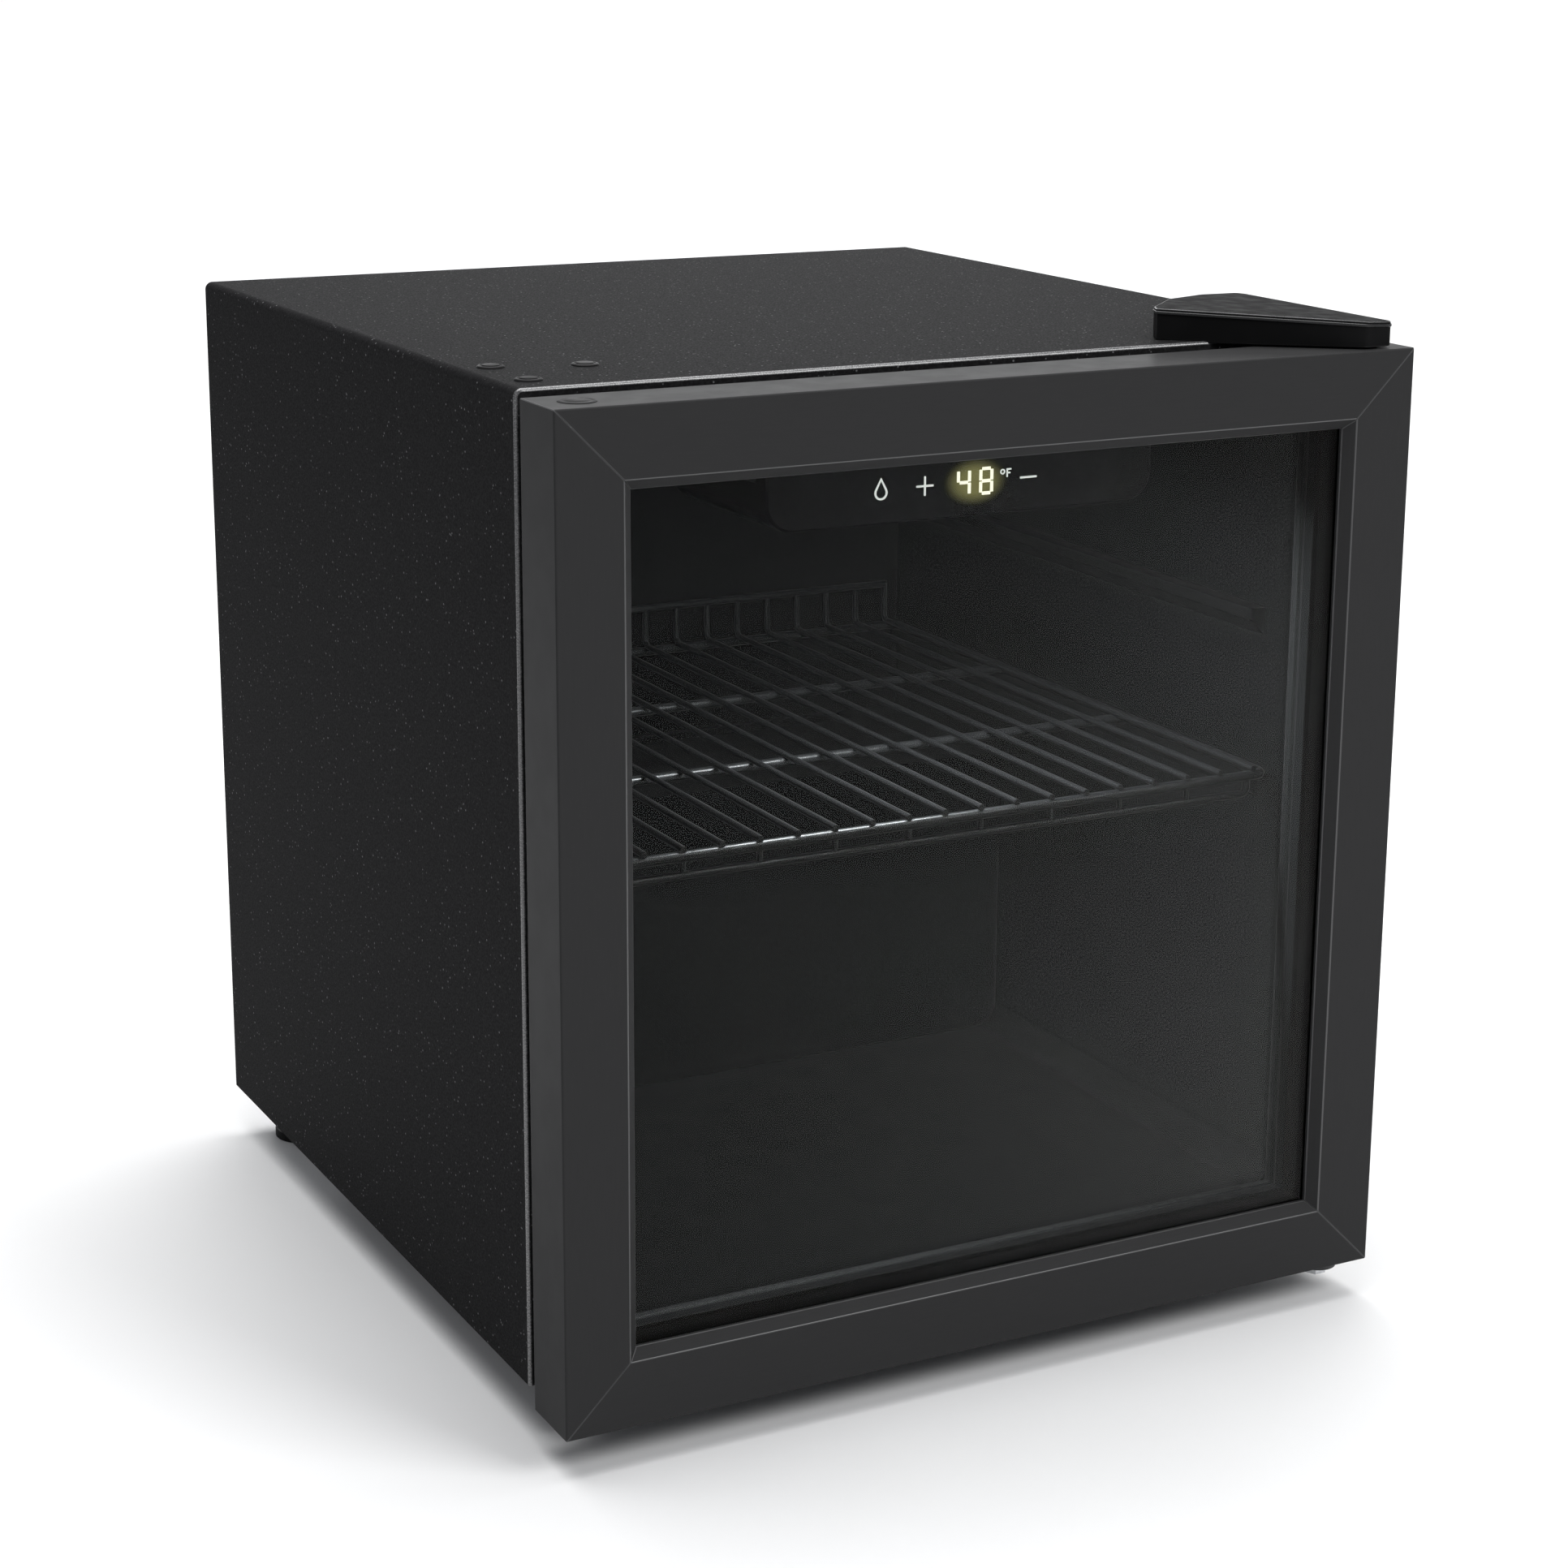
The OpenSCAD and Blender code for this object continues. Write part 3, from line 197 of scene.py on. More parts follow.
def satin_metal(name, color, stretch, rough=0.4, specular=0.03):
    """Anodised metal with a fine grain, drawn out along the axis with the small stretch."""
    p = Paint(name, color, rough, specular=specular)
    grain = p.noise(0.7 * MM, 3, stretch)
    p.tint(p.ramp(grain, 0.3, 0.75), tuple(1.05 * c for c in color))
    p.roughness(p.noise(14 * MM, 3), rough - 0.02, rough + 0.03)
    p.bump(grain, 0.001 * MM)
    return p.mat


def moulded(name, color, rough=0.45, specular=0.4):
    """Injection-moulded plastic with a fine texture."""
    p = Paint(name, color, rough, specular=specular)
    p.tint(p.ramp(p.noise(30 * MM, 3), 0.35, 0.75), tuple(1.3 * c for c in color))
    p.roughness(p.noise(9 * MM, 3), rough - 0.06, rough + 0.08)
    p.bump(p.noise(0.5 * MM, 2), 0.002 * MM)
    return p.mat


def glossy(name, color, rough, specular):
    """Smooth plastic with a slow wave in its surface."""
    p = Paint(name, color, rough, specular=specular)
    p.roughness(p.noise(25 * MM, 4), rough, rough + 0.07)
    p.bump(p.noise(45 * MM, 1), 0.02 * MM)
    return p.mat


def plated(name, color, rough, spangle=None):
    """Bare or plated metal; spangle is the crystal size of hot-dip zinc."""
    p = Paint(name, color, rough, metal=1.0)
    if spangle:
        split = p.nodes.new("ShaderNodeSeparateColor")
        p.links.new(p.cells(spangle, "Color"), split.inputs["Color"])
        pattern = split.outputs["Red"]
    else:
        pattern = p.noise(1.5 * MM, 4)
    p.tint(p.ramp(pattern, 0.1, 0.9), tuple(0.72 * c for c in color))
    p.roughness(p.noise(5 * MM, 4), rough - 0.05, rough + 0.14)
    p.bump(p.noise(2.2 * MM, 3), 0.008 * MM)
    return p.mat


def enamel(name, color, rough):
    p = Paint(name, color, rough, specular=0.45)
    p.roughness(p.noise(12 * MM, 3), rough, rough + 0.12)
    p.bump(p.noise(3.2 * MM, 2), 0.02 * MM)
    return p.mat


def soft_rubber(name, color):
    p = Paint(name, color, 0.62, specular=0.3)
    p.tint(p.ramp(p.noise(6 * MM, 4), 0.4, 0.8), tuple(1.6 * c for c in color))
    p.roughness(p.noise(3 * MM, 3), 0.55, 0.75)
    p.bump(p.noise(0.6 * MM, 2), 0.012 * MM)
    return p.mat


def clear_glass(name):
    p = Paint(name, (0.95, 0.965, 0.96), 0.0, specular=0.1)
    p.set("Transmission Weight", 1.0)
    p.set("IOR", 1.5)
    # The near-black specular tint is painted shade in the reflections: it darkens every reflection in
    # the panes almost to black
    p.set("Specular Tint", (0.02, 0.02, 0.02, 1))
    return p.mat


def insulation(name):
    p = Paint(name, (0.75, 0.62, 0.3), 0.9)
    p.tint(p.ramp(p.noise(4 * MM, 3), 0.3, 0.7), (0.55, 0.42, 0.18))
    p.bump(p.cells(1.5 * MM), 0.3 * MM)
    return p.mat


def lit_symbols(name, split_low, split_high):
    """Digits glow warm between the two X places; the other symbols glow a dimmer grey-white."""
    p = Paint(name, (0.8, 0.8, 0.78), 0.4)
    axes = p.nodes.new("ShaderNodeSeparateXYZ")
    p.links.new(p.place, axes.inputs["Vector"])
    inside = p.math(
        "MULTIPLY",
        p.math("GREATER_THAN", axes.outputs["X"], split_low),
        p.math("LESS_THAN", axes.outputs["X"], split_high),
    )
    p.glow(inside, (0.62, 0.64, 0.6), (1.0, 0.96, 0.74))
    return p.mat


def touch_panel(name, centre, reach):
    """Piano black, with a faint warm glow round the digits."""
    p = Paint(name, (0.001, 0.001, 0.0011), 0.06, specular=0.05)
    shift = p.nodes.new("ShaderNodeMapping")
    shift.vector_type = "TEXTURE"
    shift.inputs["Location"].default_value = centre
    shift.inputs["Scale"].default_value = reach
    p.links.new(p.place, shift.inputs["Vector"])
    length = p.nodes.new("ShaderNodeVectorMath")
    length.operation = "LENGTH"
    p.links.new(shift.outputs["Vector"], length.inputs[0])
    fade = p.ramp(length.outputs["Value"], 0.35, 1.0, 1, 0)
    p.glow(fade, (0, 0, 0), (0.16, 0.15, 0.055))
    p.roughness(p.noise(20 * MM, 3), 0.05, 0.12)
    return p.mat


def lamp(name, color, strength):
    p = Paint(name, (0.85, 0.87, 0.9), 0.35)
    p.set("Emission Color", (*color, 1))
    p.set("Emission Strength", strength)
    p.tint(p.ramp(p.noise(5 * MM, 2), 0.3, 0.7), (0.78, 0.8, 0.84))
    return p.mat


# ------------------------------------------------------------------ modifiers for CAD nodes


def geometry_group(name):
    group = bpy.data.node_groups.new(name, "GeometryNodeTree")
    for way in ("INPUT", "OUTPUT"):
        group.interface.new_socket("Geometry", in_out=way, socket_type="NodeSocketGeometry")
    return group


def chain_up(group, steps):
    """Links the steps one after another, from the group's input to its output."""
    chain = [group.nodes.new("NodeGroupInput"), *steps, group.nodes.new("NodeGroupOutput")]
    for a, b in zip(chain, chain[1:]):
        group.links.new(a.outputs[0], b.inputs[0])


def clean_group():
    """Joins the split corners of an imported mesh and drops its stored normals."""
    group = geometry_group("clean")
    drop = group.nodes.new("GeometryNodeRemoveAttribute")
    drop.inputs["Name"].default_value = "custom_normal"
    merge = group.nodes.new("GeometryNodeMergeByDistance")
    merge.inputs["Distance"].default_value = 0.002 * MM
    chain_up(group, (drop, merge))
    return group


def smooth_group(angle):
    """Smooth shading, kept sharp at edges that turn by more than the angle."""
    group = geometry_group("smooth")
    faces = group.nodes.new("GeometryNodeSetShadeSmooth")
    edges = group.nodes.new("GeometryNodeSetShadeSmooth")
    edges.domain = "EDGE"
    edges.inputs["Shade Smooth"].default_value = False
    turn = group.nodes.new("GeometryNodeInputMeshEdgeAngle")
    over = group.nodes.new("FunctionNodeCompare")
    over.data_type = "FLOAT"
    over.operation = "GREATER_THAN"
    over.inputs["B"].default_value = math.radians(angle)
    group.links.new(turn.outputs["Unsigned Angle"], over.inputs["A"])
    group.links.new(over.outputs["Result"], edges.inputs["Selection"])
    chain_up(group, (faces, edges))
    return group


SHARP_ANGLE = 34
CLEAN = clean_group()
SMOOTH = smooth_group(SHARP_ANGLE)


def smooth(obj):
    obj.modifiers.new("smooth", "NODES").node_group = SMOOTH


def bevel(obj, width, segments, edge_material=None):
    mod = obj.modifiers.new("bevel", "BEVEL")
    if edge_material:
        obj.data.materials.append(edge_material)
        mod.material = 1
    mod.width = width
    mod.segments = segments
    mod.limit_method = "ANGLE"
    mod.angle_limit = math.radians(SHARP_ANGLE)
    mod.harden_normals = False
    mod.use_clamp_overlap = True


def weighted(obj):
    obj.modifiers.new("weighted", "WEIGHTED_NORMAL").keep_sharp = True


def thicken(obj):
    """Gives a surface the sheet's thickness, on its inner side."""
    mod = obj.modifiers.new("sheet", "SOLIDIFY")
    mod.thickness = SHEET
    mod.offset = -1


def dress(names, material, edge=0.0, segments=2, edge_material=None):
    """Gives CAD nodes a material, rounded edges and smooth shading."""
    for name in names.split():
        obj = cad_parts[name]
        obj.data.materials.clear()
        obj.data.materials.append(material)
        obj.modifiers.new("clean", "NODES").node_group = CLEAN
        mod = obj.modifiers.new("planar", "DECIMATE")
        mod.decimate_type = "DISSOLVE"
        mod.angle_limit = math.radians(0.4)
        if edge:
            bevel(obj, edge * MM, segments, edge_material)
        smooth(obj)
        if edge:
            weighted(obj)


# ------------------------------------------------------------------ mesh building


def mesh_object(name, skin, material, body, replaced=()):
    """A piece from its vertices and faces, riding a body."""
    verts, faces = skin
    data = bpy.data.meshes.new(name)
    data.from_pydata([tuple(v) for v in verts], [], [tuple(f) for f in faces])
    data.validate()
    bm = bmesh.new()
    bm.from_mesh(data)
    bmesh.ops.remove_doubles(bm, verts=bm.verts, dist=0.001 * MM)
    bmesh.ops.recalc_face_normals(bm, faces=bm.faces)
    bm.to_mesh(data)
    bm.free()
    data.materials.append(material)
    obj = bpy.data.objects.new(name, data)
    scene.collection.objects.link(obj)
    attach(obj, body)
    if replaced:
        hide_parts(*replaced)
    return obj


def bridge(rings, closed_ring=True, closed_path=False):
    """Vertices and faces of a skin over rings with the same number of points."""
    verts = [p for ring in rings for p in ring]
    n = len(rings[0])
    faces = []
    spans = len(rings) if closed_path else len(rings) - 1
    for i in range(spans):
        a, b = i * n, ((i + 1) % len(rings)) * n
        for j in range(n if closed_ring else n - 1):
            k = (j + 1) % n
            faces.append((a + j, a + k, b + k, b + j))
    if closed_ring and not closed_path:
        faces.append(tuple(range(n - 1, -1, -1)))
        faces.append(tuple(range((len(rings) - 1) * n, len(rings) * n)))
    return verts, faces


def lathe(centre, axis, profile, steps=40):
    """A turned shape: profile is [(radius, distance along axis)], from one end to the other."""
    turn = UP.rotation_difference(Vector(axis)).to_matrix()
    rings = []
    for r, h in profile:
        ring = []
        for i in range(steps):
            a = 2 * math.pi * i / steps
            ring.append(Vector(centre) + turn @ Vector((r * math.cos(a), r * math.sin(a), h)))
        rings.append(ring)
    return bridge(rings)


def merge_parts(parts):
    verts, faces = [], []
    for v, f in parts:
        base = len(verts)
        verts += list(v)
        faces += [tuple(base + i for i in face) for face in f]
    return verts, faces


def arc_points(centre, radius, start, end, steps):
    angles = [math.radians(start + (end - start) * i / steps) for i in range(steps + 1)]
    return [(centre[0] + radius * math.cos(a), centre[1] + radius * math.sin(a)) for a in angles]


# ------------------------------------------------------------------ cabinet wrapper


def arch(inset, corner, low, half, top, y):
    """An arch in X and Z, open below: up the left side, over the top and down the right."""
    side_parts, roof_parts, corner_parts = 12, 16, 10
    h, t = half - inset, top - inset
    rise, width = t - corner - low, 2 * h - 2 * corner
    flat = [(-h, low + rise * i / side_parts) for i in range(side_parts)]
    flat += arc_points((-h + corner, t - corner), corner, 180, 90, corner_parts)
    flat += [(-h + corner + width * i / roof_parts, t) for i in range(1, roof_parts)]
    flat += arc_points((h - corner, t - corner), corner, 90, 0, corner_parts)
    flat += [(h, t - corner - rise * i / side_parts) for i in range(1, side_parts + 1)]
    return [Vector((x, y, z)) for x, z in flat]


def cabinet_wrapper(sides, rolled_edge_highlight):
    """Folded steel sheet: two sides and a roof, and a return round the front with a rolled edge."""
    low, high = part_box("outer_wrapper")
    half, top, bottom = high.x, high.z, low.z
    front, back = low.y, high.y
    corner, roll = 4 * MM, 1.5 * MM
    shell_parts, roll_parts = 12, 6
    roll_start = front + roll
    shell = [
        arch(0, corner, bottom, half, top, back + (roll_start - back) * i / shell_parts)
        for i in range(shell_parts + 1)
    ]
    rolled = [shell[-1]]
    for i in range(1, roll_parts + 1):
        a = math.pi / 2 * i / roll_parts
        inset, y = roll * (1 - math.cos(a)), front + roll * (1 - math.sin(a))
        rolled.append(arch(inset, corner - inset, bottom, half, top, y))
    # The mouth is the opening that the liner's lip covers
    mouth_half, mouth_top, mouth_corner = 196.9 * MM, 462.9 * MM, 18.9 * MM
    face = [rolled[-1], arch(0, mouth_corner, bottom, mouth_half, mouth_top, front)]
    flange_y, flange_reach = back - 4 * SHEET, 10 * MM
    rear = [
        arch(inset, corner - SHEET, bottom, half, top, flange_y) for inset in (SHEET, flange_reach)
    ]
    folds = (
        ("cabinet_wrapper", shell, sides),
        # The rolled edge takes the paint whose lighter colour is a painted highlight
        ("cabinet_rolled_edge", rolled, rolled_edge_highlight),
        ("cabinet_front_return", face, sides),
        ("cabinet_rear_return", rear, sides),
    )
    for name, rings, material in folds:
        skin = bridge(rings, closed_ring=False)
        obj = mesh_object(name, skin, material, "cabinet", ["outer_wrapper"])
        thicken(obj)
        smooth(obj)
        weighted(obj)


# ------------------------------------------------------------------ hinge cover lip


def hinge_cover_lip(material):
    """Narrow raised band round the hinge cover, just under the edge of its sloping roof."""
    low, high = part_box("upper_hinge_cover")
    fall, wide_face = 4.5 * MM, 59.5 * MM
    slope = fall / (high.x - low.x)
    heel, nose, nose_side, parts = 6 * MM, 5.5 * MM, 4.5 * MM, 5
    heel_sag = 0.36 * MM
    # Plan of the cover, counter-clockwise from above
    plan = [(low.x, low.y + wide_face)]
    plan += arc_points((high.x - 15 * MM, low.y + nose_side), nose_side, 234, 270, parts)
    plan += arc_points((high.x - nose, low.y + nose), nose, 270, 360, parts)
    plan += arc_points((high.x - heel, high.y - heel + heel_sag), heel, 0, 70, parts)
    plan += [
        (high.x - 29 * MM, high.y - 6.64 * MM),
        (high.x - 61 * MM, high.y - 25.64 * MM),
        (low.x + 4 * MM, high.y - 58.64 * MM),
    ]
    proud, buried, chamfer = 0.5 * MM, 0.4 * MM, 0.2 * MM
    foot, brow = -2.6 * MM, -1.2 * MM
    section = [
        (-buried, foot), (proud - chamfer, foot), (proud, foot + chamfer),
        (proud, brow - chamfer), (proud - chamfer, brow), (-buried, brow)
    ]
    rings = []
    for i, (x, y) in enumerate(plan):
        here = Vector((x, y, high.z - slope * (x - low.x)))
        along = Vector((*plan[(i + 1) % len(plan)], 0)) - Vector((*plan[i - 1], 0))
        outward = Vector((along.y, -along.x, 0)).normalized()
        rings.append([here + reach * outward + rise * UP for reach, rise in section])
    skin = bridge(rings, closed_path=True)
    smooth(mesh_object("hinge_cover_lip", skin, material, "cabinet"))


# ------------------------------------------------------------------ rear panel


def rear_panel(material):
    """Pressed back panel with five upright stiffening ribs that stand outwards."""
    low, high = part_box("back_panel")
    ribs = 5
    rise = 1.3 * MM
    reach = 9 * MM
    blend = 5 * MM
    end_gap = 32 * MM
    columns, rows = 180, 60
    width, tall = high.x - low.x, high.z - low.z

    def relief(x, z):
        best = 0
        for i in range(ribs):
            centre = low.x + width * (i + 1) / (ribs + 1)
            over_z = max(low.z + end_gap - z, z - high.z + end_gap, 0)
            away = math.hypot(x - centre, over_z)
            t = min(max((away - (reach - blend)) / blend, 0), 1)
            best = max(best, 1 - t * t * (3 - 2 * t))
        return best * rise

    verts, faces = [], []
    for j in range(rows + 1):
        for i in range(columns + 1):
            x = low.x + width * i / columns
            z = low.z + tall * j / rows
            verts.append((x, high.y + relief(x, z), z))
    for j in range(rows):
        for i in range(columns):
            a = j * (columns + 1) + i
            faces.append((a, a + 1, a + columns + 2, a + columns + 1))
    obj = mesh_object(
        "rear_panel", (verts, faces), material, "cabinet", ["back_panel"]
    )
    if obj.data.polygons[0].normal.y < 0:
        obj.data.flip_normals()
    thicken(obj)
    smooth(obj)


# ------------------------------------------------------------------ plugs


def plug(centre, radius, rise, axis):
    """A domed plug with a raised rim round it."""
    profile = [
        (radius, 0), (radius, 0.25 * rise), (0.93 * radius, 0.55 * rise), (0.8 * radius, 0.62 * rise),
        (0.76 * radius, 0.45 * rise), (0.68 * radius, 0.45 * rise), (0.6 * radius, 0.85 * rise),
        (0.3 * radius, rise), (0.001 * radius, rise)
    ]
    return lathe(centre, axis, profile)


def hole_plugs(material):
    """Plugs in the spare hinge holes, on the roof and in both ends of the door."""
    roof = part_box("outer_wrapper")[1].z
    hinge_holes = ((-204, -170), (-204, -127), (-163, -138))
    skin = merge_parts([
        plug((x * MM, y * MM, roof), 6.4 * MM, 1.5 * MM, UP) for x, y in hinge_holes
    ])
    smooth(mesh_object("cabinet_plugs", skin, material, "cabinet", ["hinge_hole_plugs"]))
    low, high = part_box("door_hole_plugs")
    x, y = (low.x + high.x) / 2, (low.y + high.y) / 2
    radius, flange = 8.6 * MM, 0.8 * MM
    skin = merge_parts([
        plug((x, y, high.z - flange), radius, flange, UP),
        plug((x, y, low.z + flange), radius, flange, -UP),
    ])
    smooth(mesh_object("door_plugs", skin, material, "door", ["door_hole_plugs"]))


# ------------------------------------------------------------------ tubes

TUBE_SIDES = 14


def circle(centre, radius, side, other, sides):
    """Points round a circle in the plane of two unit vectors."""
    angles = [2 * math.pi * j / sides for j in range(sides)]
    return [centre + radius * (math.cos(a) * side + math.sin(a) * other) for a in angles]


def tube_mesh(points, radius, sides=TUBE_SIDES):
    """A round tube along a smooth path, closed at both ends."""
    curve = [Vector(p) for p in points]
    rings = []
    side = None
    for i, p in enumerate(curve):
        ahead = (curve[min(i + 1, len(curve) - 1)] - curve[max(i - 1, 0)]).normalized()
        if side is None:
            side = ahead.orthogonal().normalized()
        side = (side - ahead * side.dot(ahead)).normalized()
        rings.append(circle(p, radius, side, ahead.cross(side), sides))
    return bridge(rings)


def bend_path(points, radius, steps=6):
    """The points joined by straights, with each inner corner rounded to the radius."""
    path = [Vector(points[0])]
    for before, corner, after in zip(points, points[1:], points[2:]):
        corner = Vector(corner)
        into = (corner - Vector(before)).normalized()
        out = (Vector(after) - corner).normalized()
        reach = radius * math.tan(into.angle(out) / 2)
        start, end = corner - reach * into, corner + reach * out
        for i in range(steps + 1):
            t = i / steps
            path.append((1 - t) ** 2 * start + 2 * t * (1 - t) * corner + t * t * end)
    path.append(Vector(points[-1]))
    return path


def closed_loop(corners, radius, steps=8):
    """A closed path in a level plane with rounded corners."""
    path = []
    count = len(corners)
    for i in range(count):
        before, corner, after = (Vector(corners[(i + k) % count]) for k in (-1, 0, 1))
        rounded = bend_path((before, corner, after), radius, steps)
        path += rounded[1:-1]
    return path


def closed_tube(path, radius, sides=TUBE_SIDES):
    """A tube along a closed level path."""
    rings = []
    for i, p in enumerate(path):
        ahead = (path[(i + 1) % len(path)] - path[i - 1]).normalized()
        rings.append(circle(p, radius, ahead.cross(UP), UP, sides))
    return bridge(rings, closed_path=True)


def level_rod(half, y, z, radius):
    """A straight rod along X."""
    return tube_mesh([(-half, y, z), (0, y, z), (half, y, z)], radius)


def shelf_piece(name, parts, material, replaced):
    smooth(mesh_object(name, merge_parts(parts), material, "shelf", replaced))


def bent_wire_shelf(material):
    """Frame rod, cross rods, a hanging front rod and long wires bent up at the back."""
    low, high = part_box("wire_shelf")
    kerb_low, kerb_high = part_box("shelf_kerb")
    rod, wire, kerb_rod, weld = 2.5 * MM, 1.6 * MM, 2 * MM, 0.6 * MM
    wire_z = high.z - wire
    rod_z = wire_z - wire - rod + weld
    half, front = high.x - rod, low.y + rod
    back = (kerb_low.y + kerb_high.y) / 2
    kerb_z = kerb_high.z - kerb_rod
    corners = [(-half, front, rod_z), (half, front, rod_z), (half, back, rod_z), (-half, back, rod_z)]
    frame_bend, hanger_bend, wire_bend = 7 * MM, 4 * MM, 5 * MM
    frame_parts = [closed_tube(closed_loop(corners, frame_bend), rod)]
    spaces = 3
    for i in range(1, spaces):
        frame_parts.append(level_rod(half, front + (back - front) * i / spaces, rod_z, rod))
    hang_half, hang_z, hang_rod, dropper = half - 11 * MM, rod_z - 9 * MM, 1.9 * MM, 1.4 * MM
    hanger = [
        (-hang_half, front, rod_z), (-hang_half, front, hang_z),
        (hang_half, front, hang_z), (hang_half, front, rod_z)
    ]
    frame_parts.append(tube_mesh(bend_path(hanger, hanger_bend), hang_rod))
    wires = 19
    reach = half + rod - 10 * MM
    places = [(2 * i / (wires - 1) - 1) * reach for i in range(wires)]
    for x in places[2:-2:2]:
        frame_parts.append(tube_mesh([(x, front, hang_z), (x, front, rod_z)], dropper, 10))
    shelf_piece("shelf_frame", frame_parts, material, ["wire_shelf"])
    overhang = 1.2 * MM
    wire_parts = []
    for x in places:
        line = [(x, front - overhang, wire_z), (x, back, wire_z), (x, back, kerb_z)]
        wire_parts.append(tube_mesh(bend_path(line, wire_bend), wire, 12))
    shelf_piece("shelf_wires", wire_parts, material, ["wire_shelf", "shelf_kerb"])
    top_rod = level_rod(kerb_high.x - kerb_rod, back, kerb_z, kerb_rod)
    shelf_piece("shelf_top_rod", [top_rod], material, ["shelf_kerb"])


# ------------------------------------------------------------------ compressor details


def compressor_trim(paint, copper):
    """Weld bead round the shell's seam, and a pinched-off filling tube."""
    low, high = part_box("compressor_upper_shell")
    middle = (low + high) / 2
    radius = (high.x - low.x) / 2 - 2.3 * MM
    seam = low.z + 4 * MM
    steps, bead_sides, bead_r, ripple, ripples = 120, 10, 1.5 * MM, 0.16 * MM, 37
    rings = []
    for i in range(steps):
        a = 2 * math.pi * i / steps
        out = Vector((math.cos(a), math.sin(a), 0))
        centre = Vector((middle.x, middle.y, seam)) + out * radius
        rings.append(circle(centre, bead_r + ripple * math.sin(ripples * a), out, UP, bead_sides))
    skin = bridge(rings, closed_path=True)
    smooth(mesh_object("shell_weld", skin, paint, "cabinet"))
    # The tube leaves the shell level and then turns up
    start = Vector((middle.x - 36 * MM, middle.y + 47 * MM, seam - 10 * MM))
    points = [start + Vector((-d * 0.5, d * 0.75, 0)) * MM for d in range(0, 16, 3)]
    turn = points[-1]
    points += [turn + Vector((-1.5, 2, 2.5 * k)) * MM for k in range(1, 8)]
    skin = tube_mesh(points, 2.4 * MM)
    smooth(mesh_object("filling_tube", skin, copper, "cabinet"))


# ------------------------------------------------------------------ lights and stage


def area_light(name, place, target, size, power, color=(1, 1, 1)):
    """A rectangular light at a place, aimed at a target."""
    data = bpy.data.lights.new(name, "AREA")
    data.shape = "RECTANGLE"
    data.size, data.size_y = size
    data.energy = power
    data.color = color
    obj = bpy.data.objects.new(name, data)
    aim = (Vector(target) - Vector(place)).to_track_quat("-Z", "Y")
    obj.matrix_world = Matrix.Translation(place) @ aim.to_matrix().to_4x4()
    scene.collection.objects.link(obj)


def studio():
    """Pale floor that bends up into a backdrop behind the fridge, and four soft lights."""
    world = bpy.data.worlds.new("studio")
    world.use_nodes = True
    sky = world.node_tree.nodes["Background"]
    sky.inputs["Color"].default_value = (0.9, 0.93, 1.0, 1)
    sky.inputs["Strength"].default_value = 0.22
    scene.world = world
    floor_paint = Paint("floor", (0.86, 0.86, 0.86), 0.7, specular=0.1)
    floor_paint.tint(floor_paint.ramp(floor_paint.noise(0.4, 2), 0.3, 0.7), (0.83, 0.83, 0.83))
    reach, lift, bend, bend_start = 5.0, 3.2, 1.2, 2.2
    curve = arc_points((bend_start, bend), bend, -90, 0, 15)
    sweep = [(-reach, 0.0), *curve, (bend_start + bend, lift)]
    turn = Matrix.Rotation(math.radians(-CAMERA_AZIMUTH), 3, "Z").inverted()
    rings = [[turn @ Vector((x, y, z)) for x in (-reach, reach)] for y, z in sweep]
    verts, faces = bridge(rings, closed_ring=False)
    data = bpy.data.meshes.new("floor")
    data.from_pydata([tuple(v) for v in verts], [], faces)
    data.materials.append(floor_paint.mat)
    for polygon in data.polygons:
        polygon.use_smooth = True
    floor = bpy.data.objects.new("floor", data)
    scene.collection.objects.link(floor)
    area_light("key", (1.3, -2.2, 2.1), (0, 0, 0.25), (1.6, 1.2), 55)
    area_light("overhead", (-0.1, 0.2, 2.4), (0, 0, 0.3), (2.2, 2.2), 70)
    area_light("edge_strip", (-1.9, -1.5, 0.9), (-0.2, -0.2, 0.3), (0.05, 1.6), 4.5)
    area_light("backdrop_light", (0.9, 1.2, 2.6), (1.4, 3.0, 0.6), (2.4, 1.0), 60)


def inside_lamp():
    """The light that the lens in the control housing throws down into the cavity."""
    low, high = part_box("lamp_lens")
    mid = (low + high) / 2
    place, target = (mid.x, mid.y, low.z - 1 * MM), (mid.x, mid.y + 0.02, 0.1)
    area_light("cavity_lamp", place, target, (0.13, 0.016), 3.0, (0.93, 0.97, 1.0))


# ------------------------------------------------------------------ assembly

make_camera()

coat = powder_coat("black_powder_coat", (0.0095, 0.0095, 0.0098), (0.16, 0.16, 0.165))
# Paint for the rolled front edge: its base colour, five times lighter than the cabinet's coat, is a
# painted highlight along the edge
fold_highlight_coat = powder_coat(
    "fold_highlight_coat", (0.05, 0.05, 0.051), (0.06, 0.06, 0.06), specular=1.0, rough=0.25, relief=0.001
)
back_paint = enamel("dark_painted_steel", (0.02, 0.02, 0.021), 0.42)
frame_across = satin_metal("frame_across", (0.029, 0.029, 0.0295), (0.05, 1, 1))
frame_upright = satin_metal("frame_upright", (0.029, 0.029, 0.0295), (1, 1, 0.05))
# Lighter, glossier copy of the frame paint for the rounded edges of the rails and stiles: its lighter
# base colour is a painted highlight along the edges
frame_edge_highlight = satin_metal("frame_edge_highlight", (0.05, 0.05, 0.051), (1, 1, 1), rough=0.3, specular=0.6)
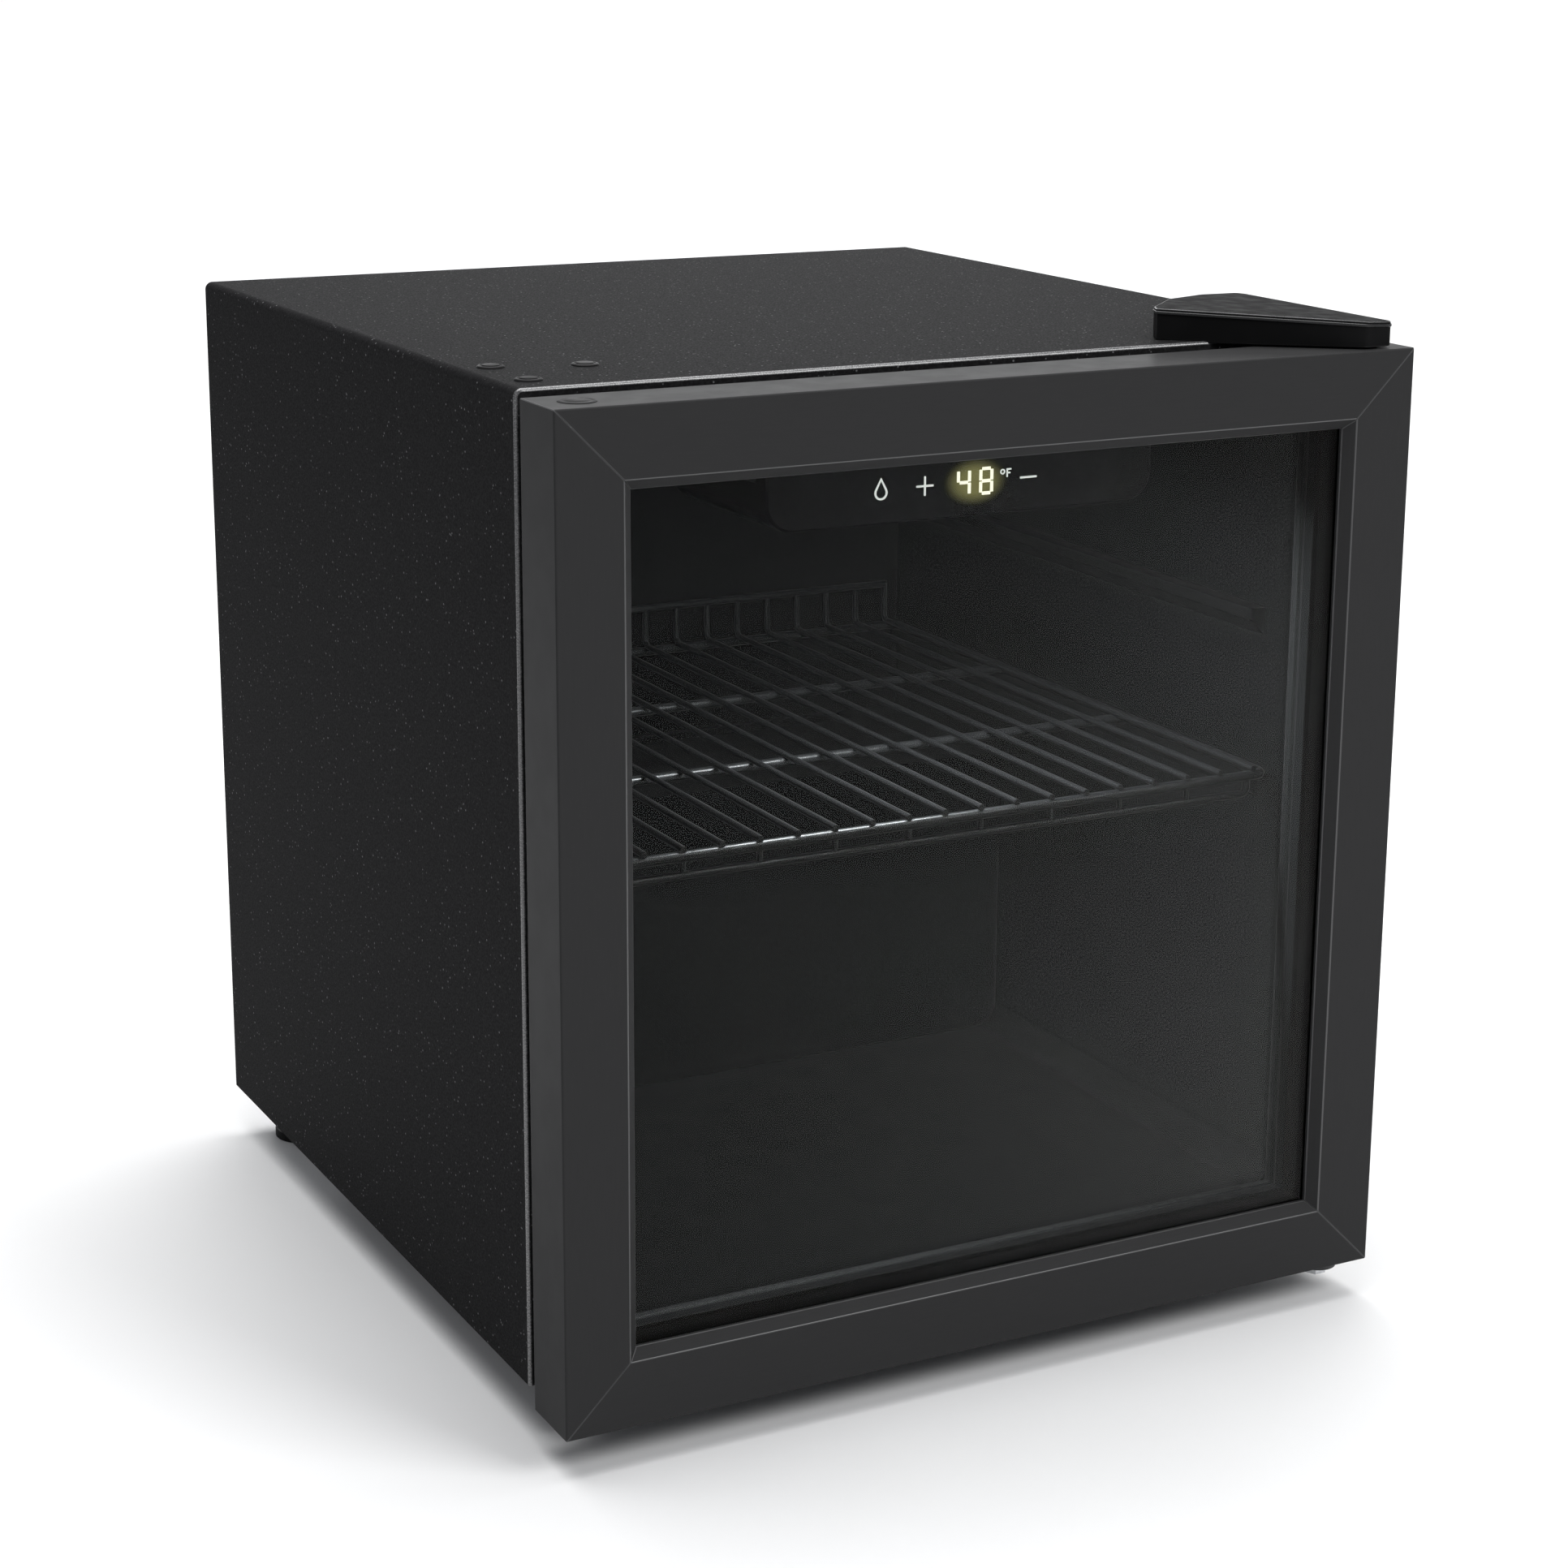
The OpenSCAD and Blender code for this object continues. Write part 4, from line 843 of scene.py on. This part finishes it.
# Slightly lighter, glossier copy of the cover plastic for the hinge cover's rounded edges and its lip:
# the lighter base colour is a painted highlight
cover_edge_highlight = moulded("cover_edge_highlight", (0.01, 0.01, 0.0102), rough=0.25, specular=0.5)
liner = glossy("liner_plastic", (0.0019, 0.0019, 0.002), 0.32, 0.03)
black_plastic = moulded("black_plastic", (0.008, 0.008, 0.0083), specular=0.08)
cover_plastic = moulded("cover_plastic", (0.0075, 0.0075, 0.0077), rough=0.5, specular=0.008)
housing_plastic = moulded("housing_plastic", (0.0017, 0.0017, 0.0018), rough=0.34, specular=0.03)
rubber = soft_rubber("gasket_rubber", (0.004, 0.004, 0.0042))
zinc = plated("zinc_hardware", (0.6, 0.61, 0.63), 0.3)
galvanised = plated("galvanised_steel", (0.5, 0.51, 0.52), 0.42, spangle=7 * MM)
aluminium = plated("evaporator_metal", (0.75, 0.76, 0.78), 0.3)
dark_aluminium = satin_metal("spacer_aluminium", (0.006, 0.006, 0.006), (1, 1, 1), rough=0.5)
copper = plated("copper", (0.78, 0.36, 0.2), 0.28)
shell_paint = enamel("compressor_paint", (0.008, 0.008, 0.008), 0.28)
iron = plated("cast_iron", (0.3, 0.3, 0.3), 0.5)
white_plastic = moulded("white_plastic", (0.7, 0.7, 0.67), rough=0.4)
board_green = enamel("circuit_board", (0.02, 0.12, 0.04), 0.3)
wire_coat = glossy("shelf_wire", (0.006, 0.006, 0.0063), 0.3, 0.14)
cable = soft_rubber("cable_sheath", (0.01, 0.01, 0.01))
glass = clear_glass("clear_glass")
foam = insulation("polyurethane_foam")
lens = lamp("diffuser", (0.95, 0.98, 1.0), 6.0)

# X places between which the symbols are digits, and the glow round them
digit_low, digit_high = -1.6 * MM, 19.4 * MM
glow_reach = (18 * MM, 20 * MM, 12 * MM)
panel_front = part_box("control_panel")[0].y
symbols_low, symbols_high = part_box("control_symbols")
glow_centre = ((digit_low + digit_high) / 2, panel_front, (symbols_low.z + symbols_high.z) / 2)
symbols = lit_symbols("symbol_ink", digit_low, digit_high)
panel = touch_panel("panel_gloss", glow_centre, glow_reach)

cabinet_wrapper(coat, fold_highlight_coat)
rear_panel(back_paint)
hole_plugs(black_plastic)
compressor_trim(shell_paint, copper)
bent_wire_shelf(wire_coat)
hinge_cover_lip(cover_edge_highlight)

dress("base_panel", back_paint, 0.2)
dress("bay_panel compressor_tray hinge_backing_plates", galvanised, 0.2)
dress("back_panel_screws upper_hinge_screws lower_hinge_screws compressor_bolts foot_nuts", zinc, 0.25)
dress("upper_hinge_pin lower_hinge_pin left_foot_stud right_foot_stud", zinc, 0.3)
dress("insulation_foam", foam)
dress("inner_liner", liner, 0.6, 3)
dress("evaporator_plate evaporator_tube", aluminium, 0.2)
dress("condenser_tubes filter_drier refrigerant_lines", copper)
dress("drain_tube temperature_sensor door_hinge_bushes", white_plastic, 0.2)
dress("drip_tray", black_plastic, 0.6)
dress("compressor_motor", iron, 0.5)
dress("compressor_lower_shell compressor_upper_shell", shell_paint, 0.4)
dress("compressor_grommets", rubber, 0.5)
dress("relay_cover cord_gland rear_feet left_foot_pad right_foot_pad", black_plastic, 0.6, 3)
dress("bay_wiring", cable)
dress("upper_hinge_plate lower_hinge_bracket", back_paint, 0.4)
dress("upper_hinge_cover", cover_plastic, 0.9, 4, cover_edge_highlight)
dress("control_housing", housing_plastic, 0.7, 3)
dress("control_panel", panel, 0.5, 3)
dress("control_symbols", symbols)
dress("control_board", board_green, 0.1)
dress("led_strip", white_plastic, 0.1)
dress("lamp_lens", lens, 0.4)
dress("door_top_rail door_bottom_rail", frame_across, 0.45, 3, frame_edge_highlight)
dress("door_left_stile door_right_stile", frame_upright, 0.45, 3, frame_edge_highlight)
dress("door_corner_keys", galvanised, 0.3)
dress("outer_glass inner_glass", glass, 0.5)
dress("glass_spacer", dark_aluminium, 0.2)
dress("door_inner_frame", black_plastic, 0.5)
dress("door_gasket", rubber, 0.3)
dress("gasket_magnets", rubber)

studio()
inside_lamp()
scene.view_settings.view_transform = "Standard"
